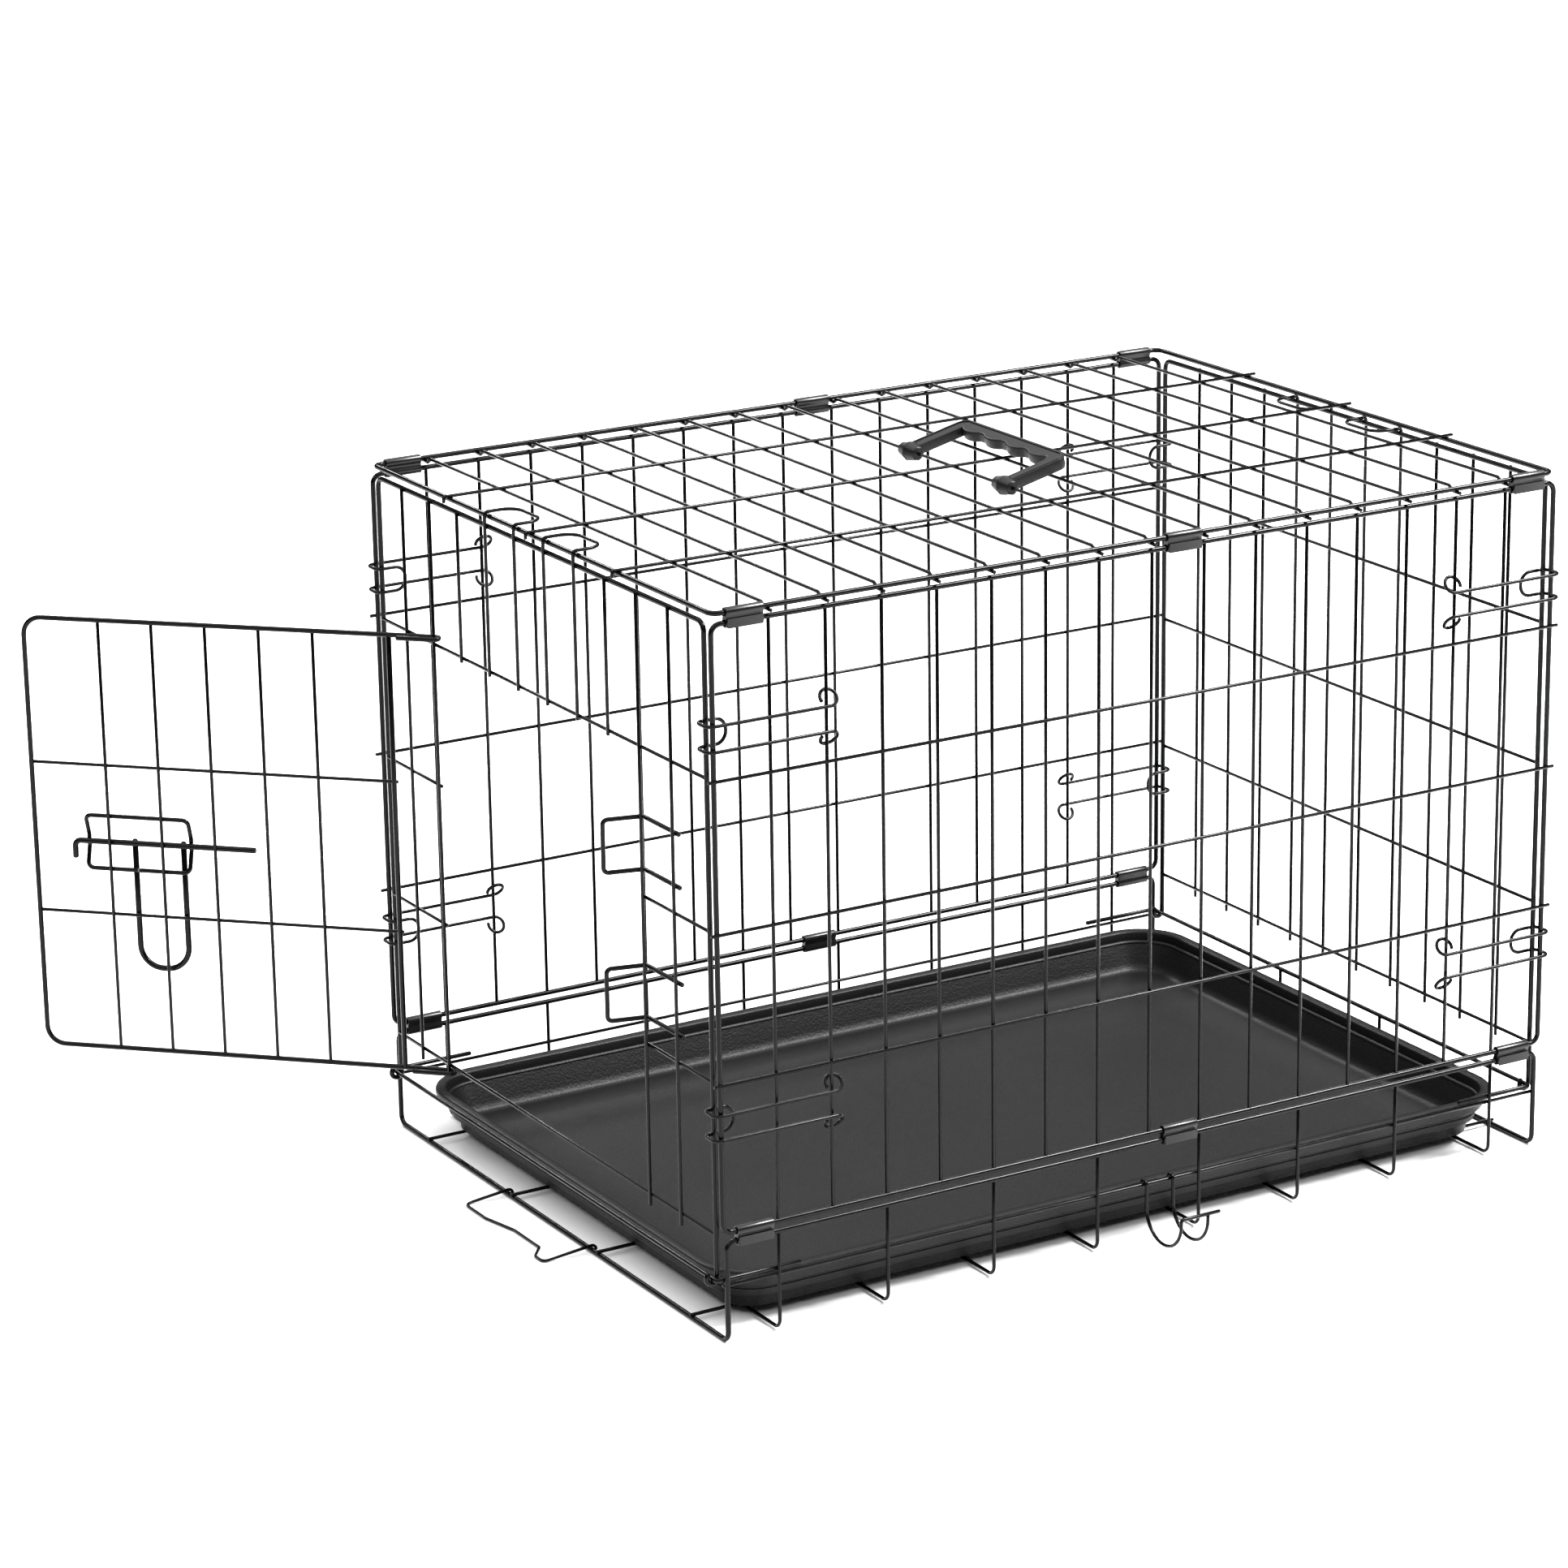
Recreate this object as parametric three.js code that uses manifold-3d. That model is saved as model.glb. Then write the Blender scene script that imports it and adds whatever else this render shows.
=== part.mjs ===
// Folding wire dog crate, 24 in size, with one end door, a pull-out tray and a carry handle.
//
// Axes: X runs along the long side, the door end is at -X and the far end at +X.
// Y runs across, the front long side is at -Y. Z is up and the floor is Z = 0. All sizes are in mm.
// Every welded wire panel is one piece. Clips, hooks, keepers and moving pieces are pieces of their own.

import * as THREE from "three";
import { mergeVertices } from "three/addons/utils/BufferGeometryUtils.js";
import Module from "manifold-3d";

const wasm = await Module();
wasm.setup();

// ---------------------------------------------------------------- driving dimensions

const LENGTH = 610; // corner post to corner post along X
const WIDTH = 436; // front panel plane to back panel plane
const SIDE_BOTTOM = 71.5; // bottom wire of the side panels
const SIDE_TOP = 445; // top wire of the side panels
const SIDE_BAYS = 16; // wire spacings along a side panel
const END_BAYS = 11; // wire spacings across an end panel
const ROW_BAYS = 4; // spacings between the horizontal wires

const FRAME_D = 3.4; // heavy wire of frames and posts
const MESH_D = 2.3; // thin wire of the grids
const RAIL_D = 3; // end rails, bolt guide and keepers
const ROD_D = 4; // sliding bolt and its grip
const GATE_D = 2; // wire of the tray gate

const FIT = 0.4; // gap between pieces that touch or turn on each other
const WELD = 0.5; // how deep two welded wires sink into each other
const FRAME_BEND = 6; // bend radius of the frame corners
const OVERSHOOT = 5; // length of a grid wire past the frame it is welded to
const HINGE_GAP = 6.3; // distance between the two wires that a clip joins

const END_INSET = 8; // end panel posts, inboard of the side panel planes
const BASE_INSET = 2.5; // base legs, inboard of the corner posts
const END_RAIL_Z = 41; // end rails of the base
const SIDE_RAIL_Z = 37.2; // long rails of the base
const RAIL_RETURN = 58; // length of an end rail's return along the side
const FLOOR_OUTER_INSET = 43; // outer long floor wires, inboard of the side panel planes
const FLOOR_INNER_Y = 57; // inner long floor wires, from the middle
const END_SILL_Z = 68.5; // lowest row of the end panels
const END_WIRE_BOTTOM = 61.5; // lower ends of the end panels' wires
const TOP_LONG_WIRES = 3; // long wires over the top panel

const CLIP_LENGTH = 25;
const CLIP_SHEET = 0.9; // steel thickness of a clip
const CLIP_FROM_POST = 21.5; // clip centre, from the corner post
const CLIP_FROM_MIDDLE = 22.5; // clip centre, from the middle of the side

const HOOK_FROM_ROW = 26; // under the lowest row and over the highest row
const HOOK_SPREAD = 15.5; // between the two strands of a corner hook
const HOOK_RING_R = 5.5; // mean radius of the rings at its ends
const HOOK_RING_LEAN = 37; // degrees that a ring leans through the panel
const HOOK_RING_SHIFT = 1.5; // ring centre past the upright it hangs on
const HOOK_REACH = 5; // how far it wraps past the posts
const HOOK_TONGUE = 15; // how far its closed end reaches in past the posts

const TOP_LOOP_REACH = 18; // how far an end panel's loop reaches over the top panel
const EYELET_SWEEP = 240; // degrees of the curls at the foot of the end panels

const DOOR_OPEN = 134; // degrees that the door stands open
const DOOR_LAP = 10.7; // how far the door's free edge passes the doorway's jamb wire
const DOOR_OVER_HEADER = 4.7;
const DOOR_UNDER_SILL = 4;
const DOOR_STILE = 31; // hinge line to the door's hinge-side upright
const DOOR_WIRES = 5;
const DOOR_EDGE_BAY = 51; // door frame to the first and from the last of its thin uprights
const DOOR_ROW_DROP = 8; // the door's lower row, under the end panel's row
const DOOR_TAIL = 24; // doubled-back ends of the door frame
const HINGE_WIRE = 2; // end panel wire that the door turns on, counted from the back

const BOLT_OVER_KEEPER = 7.5; // bolt height over the middle of the lower keeper
const BOLT_SETBACK = 25.5; // bolt tip to the door's free edge when the bolt is drawn back
const BOLT_LENGTH = 124.5;
const BOLT_TIP_DROP = 12;
const GRIP_SPREAD = 33.3; // between the grip's two legs
const GRIP_FROM_GUIDE = 5; // grip to the guide's near side when the bolt is drawn back
const GRIP_DROP = 86;
const GUIDE_OVERHANG = 17; // how far the guide passes the two uprights it lies on
const GUIDE_HEIGHT = 36;
const KEEPER_RISE = 33; // keeper height over the row under it
const KEEPER_SPREAD = 33; // between a keeper's two prongs
const KEEPER_REACH = 21; // how far a keeper stands out of the end panel

const TRAY_Z = 6.1; // underside of the tray
const TRAY_HEIGHT = 29;
const TRAY_WALL = 2.4;
const TRAY_END_GAP = 6; // base leg to tray rim along X
const TRAY_SIDE_GAP = 11; // side panel plane to tray rim
const TRAY_CORNER_R = 38;
const TRAY_STEP = 5.5; // inward step of the wall, twice
const TRAY_LIP = 5; // width of the rolled rim

const GATE_SPAN = [-47, 65]; // the gate's two hinge curls
const GATE_HEIGHT = 34;
const GATE_DIP = 9; // depth of the thumb dip in its bar

const HANDLE_TILT = 13.5; // degrees above level at which the handle lies
const HANDLE_FEET = 111; // foot to foot
const HANDLE_REACH = 47;
const HANDLE_THICKNESS = 7;
const HANDLE_ARM = 9;
const HANDLE_CORNER = 8;
const HANDLE_RIDGE = 2; // width of the raised edge round the outside
const HANDLE_RIDGE_RISE = 0.9;
const HANDLE_FOOT = 18.7;
const HANDLE_FOOT_R = 6.8; // at its middle
const HANDLE_FOOT_END_R = 4.6;
const HANDLE_SCALLOPS = 4;
const HANDLE_SCALLOP_DEPTH = 3;

const FOLD_HOOK_X = [-2, 18]; // the two legs of the fold lock hook
const FOLD_HOOK_TAIL = 9;
const FOLD_HOOK_R = 19; // radius of its J bends
const FOLD_HOOK_TIP_Z = 27;

// ---------------------------------------------------------------- derived places

const POST_X = LENGTH / 2;
const SIDE_Y = WIDTH / 2;
const SIDE_PITCH = LENGTH / SIDE_BAYS;
const ROW_PITCH = (SIDE_TOP - SIDE_BOTTOM) / ROW_BAYS;
const END_POST_Y = SIDE_Y - END_INSET;
const END_PITCH = (2 * END_POST_Y) / END_BAYS;
const BASE_X = POST_X - BASE_INSET;
const RIM_Z = SIDE_BOTTOM - HINGE_GAP;
const TOP_Z = SIDE_TOP + HINGE_GAP;

const MESH_ON_MESH = MESH_D - WELD; // axis distance of two welded thin wires
const MESH_ON_FRAME = (MESH_D + FRAME_D) / 2 - WELD;
const MESH_BY_FRAME = (MESH_D + FRAME_D) / 2 + FIT;
const END_WIRE_X = POST_X + MESH_ON_FRAME; // upright wires, outside the end frame
const END_ROW_X = END_WIRE_X - MESH_ON_MESH;
const TOP_END_X = END_WIRE_X - MESH_BY_FRAME; // end wires of the top panel
const TOP_CROSS_Z = TOP_Z + MESH_ON_FRAME - MESH_ON_MESH;
const TOP_LONG_Z = TOP_Z + MESH_ON_FRAME;
const EYELET_R = RAIL_D / 2 + FIT + FRAME_D / 2;
const FLOOR_FRAME_Z = (FRAME_D / 2) * Math.cos(Math.PI / 6); // a flat of the wire lies on the floor
const FLOOR_LONG_Z = FLOOR_FRAME_Z + MESH_ON_FRAME;
const FLOOR_CROSS_Z = FLOOR_LONG_Z - MESH_ON_MESH;
const SIDE_RAIL_Y = SIDE_Y - MESH_ON_MESH;
const END_RAIL_Y = SIDE_Y - (MESH_D + RAIL_D) / 2 + WELD;
const DOOR_RAIL_X = -POST_X - EYELET_R; // end rail on the door end, outboard of the posts
const FAR_RAIL_X = POST_X - EYELET_R; // end rail on the far end, inboard of the posts

const sideWireX = (k) => -POST_X + k * SIDE_PITCH;
const endWireY = (k) => END_POST_Y - k * END_PITCH;
const rowZ = (j) => SIDE_BOTTOM + j * ROW_PITCH;

// ---------------------------------------------------------------- wire and solid tools

const vec = (x, y, z) => new THREE.Vector3(x, y, z);

// A wire's centre line: straight runs between corners, each corner bent to a radius.
class WireLine extends THREE.Curve {
  constructor(corners, bend, bendSteps, up) {
    super();
    this.stations = roundCorners(corners, bend, bendSteps);
    this.up = up;
  }

  getPoint(t) {
    const at = t * (this.stations.length - 1);
    const i = Math.min(Math.floor(at), this.stations.length - 2);
    return this.stations[i].clone().lerp(this.stations[i + 1], at - i);
  }

  getSpacedPoints() {
    return this.stations;
  }

  // The section is carried along the straight runs without twist and mitred where two runs meet.
  computeFrenetFrames() {
    const last = this.stations.length - 1;
    const runs = this.stations.slice(1).map((p, i) => p.clone().sub(this.stations[i]).normalize());
    const turn = new THREE.Quaternion();
    const sides = [this.up.clone().addScaledVector(runs[0], -this.up.dot(runs[0])).normalize()];
    for (let i = 1; i < runs.length; i++) {
      turn.setFromUnitVectors(runs[i - 1], runs[i]);
      sides.push(sides[i - 1].clone().applyQuaternion(turn));
    }
    const tangents = [];
    const normals = [];
    const binormals = [];
    for (let i = 0; i <= last; i++) {
      const before = runs[Math.max(i - 1, 0)];
      const after = runs[Math.min(i, last - 1)];
      const tangent = before.clone().add(after).normalize();
      const normal = sides[Math.max(i - 1, 0)].clone().add(sides[Math.min(i, last - 1)]);
      normal.addScaledVector(tangent, -normal.dot(tangent)).normalize();
      const binormal = tangent.clone().cross(normal);
      const across = after.clone().sub(before).normalize();
      const mitre = 1 / tangent.dot(after) - 1;
      normals.push(normal.clone().addScaledVector(across, mitre * normal.dot(across)));
      binormals.push(binormal.clone().addScaledVector(across, mitre * binormal.dot(across)));
      tangents.push(tangent);
    }
    return { tangents, normals, binormals };
  }
}

function roundCorners(corners, bend, bendSteps) {
  const stations = [corners[0]];
  for (let i = 1; i < corners.length - 1; i++) {
    const corner = corners[i];
    const toBefore = corners[i - 1].clone().sub(corner);
    const toAfter = corners[i + 1].clone().sub(corner);
    const room = 0.49 * Math.min(toBefore.length(), toAfter.length());
    toBefore.normalize();
    toAfter.normalize();
    const half = toBefore.angleTo(toAfter) / 2;
    const setback = Math.min(bend / Math.tan(half), room);
    if (bendSteps < 1 || half > 1.55 || setback < 0.05) {
      stations.push(corner);
      continue;
    }
    const start = corner.clone().addScaledVector(toBefore, setback);
    const end = corner.clone().addScaledVector(toAfter, setback);
    const radius = setback * Math.tan(half);
    const middle = toBefore.clone().add(toAfter).normalize();
    const centre = corner.clone().addScaledVector(middle, radius / Math.sin(half));
    const fromCentre = start.clone().sub(centre);
    const axis = fromCentre.clone().cross(end.clone().sub(centre)).normalize();
    const sweep = Math.PI - 2 * half;
    for (let s = 0; s <= bendSteps; s++) {
      const turned = fromCentre.clone().applyAxisAngle(axis, (sweep * s) / bendSteps);
      stations.push(centre.clone().add(turned));
    }
  }
  stations.push(corners[corners.length - 1]);
  return stations;
}

// Points on an arc about a centre, from one angle to another, in the plane of two unit vectors.
function arc(centre, radius, u, v, from, to, steps) {
  return Array.from({ length: steps + 1 }, (_, i) => {
    const angle = THREE.MathUtils.degToRad(from + ((to - from) * i) / steps);
    return centre
      .clone()
      .addScaledVector(u, radius * Math.cos(angle))
      .addScaledVector(v, radius * Math.sin(angle));
  });
}

const X_AXIS = vec(1, 0, 0);
const Y_AXIS = vec(0, 1, 0);
const Z_AXIS = vec(0, 0, 1);

// Round wire drawn as a prism with six flats.
function wireSection(diameter) {
  const points = Array.from({ length: 6 }, (_, i) => {
    const angle = (Math.PI * i) / 3;
    return new THREE.Vector2((diameter / 2) * Math.cos(angle), (diameter / 2) * Math.sin(angle));
  });
  return new THREE.Shape(points);
}

function toSolid(geometry) {
  const plain = geometry.index ? geometry.toNonIndexed() : geometry.clone();
  plain.deleteAttribute("normal");
  plain.deleteAttribute("uv");
  const merged = mergeVertices(plain, 1e-4);
  return new wasm.Manifold(
    new wasm.Mesh({
      numProp: 3,
      vertProperties: new Float32Array(merged.attributes.position.array),
      triVerts: new Uint32Array(merged.index.array),
    }),
  );
}

function wire(corners, { d = MESH_D, bend = 0, steps = 3, up = Z_AXIS } = {}) {
  const line = new WireLine(corners, bend, bend > 0 ? steps : 0, up);
  const geometry = new THREE.ExtrudeGeometry(wireSection(d), {
    steps: line.stations.length - 1,
    extrudePath: line,
  });
  return toSolid(geometry);
}

// A closed loop of wire, made of two lengths that run into each other.
function wireLoop(corners, options) {
  const count = corners.length;
  const half = count / 2;
  const lap = FRAME_D / 4;
  const run = (from, to) => {
    const bends = Array.from({ length: to - from }, (_, i) => corners[(from + 1 + i) % count]);
    const start = corners[from].clone().lerp(bends[0], 0.5);
    const end = corners[to % count].clone().lerp(corners[(to + 1) % count], 0.5);
    start.addScaledVector(corners[from].clone().sub(start).normalize(), lap);
    end.addScaledVector(corners[(to + 1) % count].clone().sub(end).normalize(), lap);
    return wire([start, ...bends, end], options);
  };
  return run(0, half).add(run(half, count));
}

const join = (solids) => solids.reduce((whole, next) => whole.add(next));

function prism(shape, depth, steps) {
  return new THREE.ExtrudeGeometry(shape, { depth, bevelEnabled: false, curveSegments: steps });
}

function toGeometry(solid) {
  const mesh = solid.getMesh();
  const geometry = new THREE.BufferGeometry();
  const positions = new Float32Array((mesh.vertProperties.length / mesh.numProp) * 3);
  for (let i = 0; i < positions.length / 3; i++) {
    for (let c = 0; c < 3; c++) {
      positions[3 * i + c] = mesh.vertProperties[mesh.numProp * i + c];
    }
  }
  geometry.setAttribute("position", new THREE.BufferAttribute(positions, 3));
  geometry.setIndex(new THREE.BufferAttribute(new Uint32Array(mesh.triVerts), 1));
  geometry.computeVertexNormals();
  return geometry;
}

const coatedWire = { color: 0x15161a, roughness: 0.32, metalness: 0.35 };
const sheetSteel = { color: 0x1b1c20, roughness: 0.42, metalness: 0.4 };
const trayPlastic = { color: 0x1c1c20, roughness: 0.62, metalness: 0 };
const handlePlastic = { color: 0x202126, roughness: 0.55, metalness: 0 };

function piece(name, solid, finish) {
  const mesh = new THREE.Mesh(toGeometry(solid), new THREE.MeshStandardMaterial(finish));
  mesh.name = name;
  return mesh;
}

const crate = new THREE.Group();

// ---------------------------------------------------------------- base frame

// One heavy wire makes the rim, the four legs and the two floor ends.
function baseLoop() {
  const corner = (sx, sy, z) => vec(sx * BASE_X, sy * SIDE_Y, z);
  const corners = [
    corner(-1, -1, RIM_Z),
    corner(1, -1, RIM_Z),
    corner(1, -1, FLOOR_FRAME_Z),
    corner(1, 1, FLOOR_FRAME_Z),
    corner(1, 1, RIM_Z),
    corner(-1, 1, RIM_Z),
    corner(-1, 1, FLOOR_FRAME_Z),
    corner(-1, -1, FLOOR_FRAME_Z),
  ];
  return wireLoop(corners, { d: FRAME_D, bend: FRAME_BEND, up: Z_AXIS });
}

// A U wire hangs from the rim, crosses the floor under the tray and climbs to the other rim.
function baseCradle(x) {
  const corners = [
    vec(x, -SIDE_Y, RIM_Z),
    vec(x, -SIDE_Y, FLOOR_CROSS_Z),
    vec(x, SIDE_Y, FLOOR_CROSS_Z),
    vec(x, SIDE_Y, RIM_Z),
  ];
  return wire(corners, { bend: FRAME_BEND, steps: 2, up: X_AXIS });
}

// The inner two long floor wires climb to the end rail at the far end and stop the tray there.
function baseFloorWire(y) {
  const stubX = FAR_RAIL_X - (RAIL_D + MESH_D) / 2 + WELD;
  const start = vec(-BASE_X - MESH_D, y, FLOOR_LONG_Z);
  if (Math.abs(y) > FLOOR_INNER_Y) {
    return wire([start, vec(BASE_X + MESH_D, y, FLOOR_LONG_Z)]);
  }
  const corners = [start, vec(stubX, y, FLOOR_LONG_Z), vec(stubX, y, END_RAIL_Z + RAIL_D / 2)];
  return wire(corners, { bend: MESH_D, steps: 2, up: Y_AXIS });
}

function baseSideRail(side) {
  const y = side * SIDE_RAIL_Y;
  return wire([vec(-BASE_X - MESH_D, y, SIDE_RAIL_Z), vec(BASE_X + MESH_D, y, SIDE_RAIL_Z)]);
}

// A C-shaped rail that the end panel's eyelets turn on.
function baseEndRail(x) {
  const back = x - Math.sign(x) * RAIL_RETURN;
  const corners = [
    vec(back, -END_RAIL_Y, END_RAIL_Z),
    vec(x, -END_RAIL_Y, END_RAIL_Z),
    vec(x, END_RAIL_Y, END_RAIL_Z),
    vec(back, END_RAIL_Y, END_RAIL_Z),
  ];
  return wire(corners, { d: RAIL_D, bend: RAIL_D, steps: 2, up: Z_AXIS });
}

function baseFrame() {
  const outer = SIDE_Y - FLOOR_OUTER_INSET;
  const cradles = [];
  for (let k = 1; k < SIDE_BAYS; k += 2) {
    cradles.push(baseCradle(sideWireX(k)));
  }
  return join([
    baseLoop(),
    ...cradles,
    ...[-outer, -FLOOR_INNER_Y, FLOOR_INNER_Y, outer].map(baseFloorWire),
    baseSideRail(-1),
    baseSideRail(1),
    baseEndRail(DOOR_RAIL_X),
    baseEndRail(FAR_RAIL_X),
  ]);
}

crate.add(piece("base_frame", baseFrame(), coatedWire));

// ---------------------------------------------------------------- side panels

// The upright wires stand inside the frame, the rows are welded across them on the outside.
function sidePanel(side) {
  const y = side * SIDE_Y;
  const frame = wireLoop(
    [
      vec(-POST_X, y, SIDE_BOTTOM),
      vec(POST_X, y, SIDE_BOTTOM),
      vec(POST_X, y, SIDE_TOP),
      vec(-POST_X, y, SIDE_TOP),
    ],
    { d: FRAME_D, bend: FRAME_BEND, up: Y_AXIS },
  );
  const parts = [frame];
  for (let k = 1; k < SIDE_BAYS; k++) {
    parts.push(wire([vec(sideWireX(k), y, SIDE_BOTTOM), vec(sideWireX(k), y, SIDE_TOP)], { up: Y_AXIS }));
  }
  const rowY = side * (SIDE_Y + MESH_ON_MESH);
  for (let j = 1; j < ROW_BAYS; j++) {
    const end = POST_X + OVERSHOOT;
    parts.push(wire([vec(-end, rowY, rowZ(j)), vec(end, rowY, rowZ(j))]));
  }
  return join(parts);
}

crate.add(piece("side_panel_front", sidePanel(-1), coatedWire));
crate.add(piece("side_panel_back", sidePanel(1), coatedWire));

// ---------------------------------------------------------------- top panel

// A cross wire dips under the frame wire at both ends and stands a little way out of it.
function topCrossWire(x) {
  const under = TOP_Z - MESH_ON_FRAME;
  const inner = SIDE_Y - FRAME_D;
  const slope = 2 * MESH_D;
  const half = [
    vec(x, -SIDE_Y - OVERSHOOT + 1, under),
    vec(x, -inner, under),
    vec(x, -inner + slope, TOP_CROSS_Z),
  ];
  const mirrored = half.map((p) => vec(x, -p.y, p.z)).reverse();
  return wire([...half, ...mirrored], { up: X_AXIS });
}

// A long wire lies over the cross wires, turns down past the door end and runs on past the far end.
function topLongWire(y) {
  const out = TOP_END_X + OVERSHOOT;
  const corners = [
    vec(-out, y, TOP_LONG_Z - OVERSHOOT + 1),
    vec(-out, y, TOP_LONG_Z),
    vec(out, y, TOP_LONG_Z),
  ];
  return wire(corners, { bend: MESH_D / 2, steps: 1, up: Y_AXIS });
}

function topPanel() {
  const frame = wireLoop(
    [
      vec(-TOP_END_X, -SIDE_Y, TOP_Z),
      vec(TOP_END_X, -SIDE_Y, TOP_Z),
      vec(TOP_END_X, SIDE_Y, TOP_Z),
      vec(-TOP_END_X, SIDE_Y, TOP_Z),
    ],
    { d: FRAME_D, bend: FRAME_BEND, up: Z_AXIS },
  );
  const parts = [frame];
  for (let k = 1; k < SIDE_BAYS; k++) {
    parts.push(topCrossWire(sideWireX(k)));
  }
  for (let j = 1; j <= TOP_LONG_WIRES; j++) {
    parts.push(topLongWire(-SIDE_Y + (j * WIDTH) / (TOP_LONG_WIRES + 1)));
  }
  return join(parts);
}

crate.add(piece("top_panel", topPanel(), coatedWire));

// ---------------------------------------------------------------- end panels

// The end frame is an upside-down U whose feet curl round the base's end rail.
// railX is the rail's place, so the eyelet curls outboard or inboard of the post.
function endFrame(end, railX) {
  const x = end * POST_X;
  const away = vec(Math.sign(railX - x), 0, 0);
  const foot = (side) => {
    const centre = vec(railX, side * END_POST_Y, END_RAIL_Z);
    const towardsPost = away.clone().negate();
    const down = Z_AXIS.clone().negate();
    return arc(centre, EYELET_R, towardsPost, down, 0, EYELET_SWEEP, 8);
  };
  const corners = [
    ...foot(-1).reverse(),
    vec(x, -END_POST_Y, SIDE_TOP),
    vec(x, END_POST_Y, SIDE_TOP),
    ...foot(1),
  ];
  const line = squareFeet(corners);
  return wire(line, { d: FRAME_D, up: Y_AXIS });
}

// Only the two top corners of an end frame are bent to the frame's radius.
function squareFeet(corners) {
  const first = corners.findIndex((p) => p.z > END_RAIL_Z + FRAME_BEND * 4);
  const rounded = roundCorners(corners.slice(first - 1, first + 3), FRAME_BEND, 3);
  return [...corners.slice(0, first - 1), ...rounded, ...corners.slice(first + 3)];
}

// Two neighbouring upright wires are one wire, bent to a loop that lies over or under the top panel.
function hookPair(end, k, bottomZ, loopZ) {
  const x = end * END_WIRE_X;
  const tipX = end * (TOP_END_X - TOP_LOOP_REACH);
  const corners = [
    vec(x, endWireY(k), bottomZ),
    vec(x, endWireY(k), loopZ),
    vec(tipX, endWireY(k), loopZ),
    vec(tipX, endWireY(k + 1), loopZ),
    vec(x, endWireY(k + 1), loopZ),
    vec(x, endWireY(k + 1), bottomZ),
  ];
  const start = roundCorners(corners.slice(0, 3), MESH_D, 2);
  const loop = roundCorners(corners.slice(1, 5), END_PITCH / 3, 4);
  const finish = roundCorners(corners.slice(3), MESH_D, 2);
  const path = [...start.slice(0, -1), ...loop.slice(1, -1), ...finish.slice(1)];
  return wire(path, { up: Y_AXIS });
}

const HOOKED_WIRES = [4, 6]; // first wire of each hooked pair
const isHooked = (k) => HOOKED_WIRES.some((first) => k === first || k === first + 1);
const lastEndWire = END_BAYS - 1;

function endWire(end, k, bottomZ) {
  const x = end * END_WIRE_X;
  return wire([vec(x, endWireY(k), bottomZ), vec(x, endWireY(k), SIDE_TOP + MESH_D / 2)], { up: Y_AXIS });
}

function endRow(end, z, from, to) {
  return wire([vec(end * END_ROW_X, from, z), vec(end * END_ROW_X, to, z)]);
}

// Door end: wires 3 to 8 stop at the header over the doorway.
const JAMB_WIRE = lastEndWire + 1 - HINGE_WIRE; // upright on the bolt side of the doorway
const HEADER_Z = rowZ(ROW_BAYS - 1);

function doorEndPanel() {
  const loopZ = TOP_Z + MESH_BY_FRAME;
  const parts = [endFrame(-1, DOOR_RAIL_X)];
  const headerEnd = HEADER_Z - MESH_D;
  for (let k = 1; k <= lastEndWire; k++) {
    const overDoor = k > HINGE_WIRE && k < JAMB_WIRE;
    if (!isHooked(k)) {
      parts.push(endWire(-1, k, overDoor ? headerEnd : END_WIRE_BOTTOM));
    }
  }
  for (const k of HOOKED_WIRES) {
    parts.push(hookPair(-1, k, headerEnd, loopZ));
  }
  parts.push(endRow(-1, HEADER_Z, -END_POST_Y, END_POST_Y));
  parts.push(endRow(-1, END_SILL_Z, -END_POST_Y, END_POST_Y));
  for (let j = 1; j < ROW_BAYS - 1; j++) {
    parts.push(endRow(-1, rowZ(j), -END_POST_Y, endWireY(JAMB_WIRE) + MESH_D));
    parts.push(endRow(-1, rowZ(j), endWireY(HINGE_WIRE) - MESH_D / 2, END_POST_Y));
  }
  return join(parts);
}

// Far end: all wires run the full height and its loops are slipped off, just under the top panel.
function farEndPanel() {
  const loopZ = TOP_Z - MESH_BY_FRAME;
  const parts = [endFrame(1, FAR_RAIL_X)];
  for (let k = 1; k <= lastEndWire; k++) {
    if (!isHooked(k)) {
      parts.push(endWire(1, k, END_WIRE_BOTTOM));
    }
  }
  for (const k of HOOKED_WIRES) {
    parts.push(hookPair(1, k, END_WIRE_BOTTOM, loopZ));
  }
  parts.push(endRow(1, END_SILL_Z, -END_POST_Y, END_POST_Y));
  for (let j = 1; j < ROW_BAYS; j++) {
    parts.push(endRow(1, rowZ(j), -END_POST_Y, END_POST_Y));
  }
  return join(parts);
}

crate.add(piece("end_panel_door", doorEndPanel(), coatedWire));
crate.add(piece("end_panel_far", farEndPanel(), coatedWire));

// ---------------------------------------------------------------- hinge clips

// Pressed sheet steel folded round two parallel frame wires, which turn inside it.
function hingeClip() {
  const inner = (FRAME_D / 2 + FIT) / Math.cos(Math.PI / 6);
  const outer = FRAME_D / 2 + FIT + CLIP_SHEET;
  const half = HINGE_GAP / 2;
  const outline = new THREE.Shape();
  outline.absarc(half, 0, outer, -Math.PI / 2, Math.PI / 2, false);
  outline.absarc(-half, 0, outer, Math.PI / 2, (3 * Math.PI) / 2, false);
  for (const centre of [-half, half]) {
    const barrel = new THREE.Path();
    barrel.absarc(centre, 0, inner, 0, 2 * Math.PI, true);
    outline.holes.push(barrel);
  }
  const body = prism(outline, CLIP_LENGTH, 3);
  body.translate(0, 0, -CLIP_LENGTH / 2);
  body.rotateY(Math.PI / 2);
  return toSolid(body);
}

const CLIP_X = {
  door: -POST_X + CLIP_FROM_POST,
  middle: CLIP_FROM_MIDDLE,
  far: POST_X - CLIP_FROM_POST,
};

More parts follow.
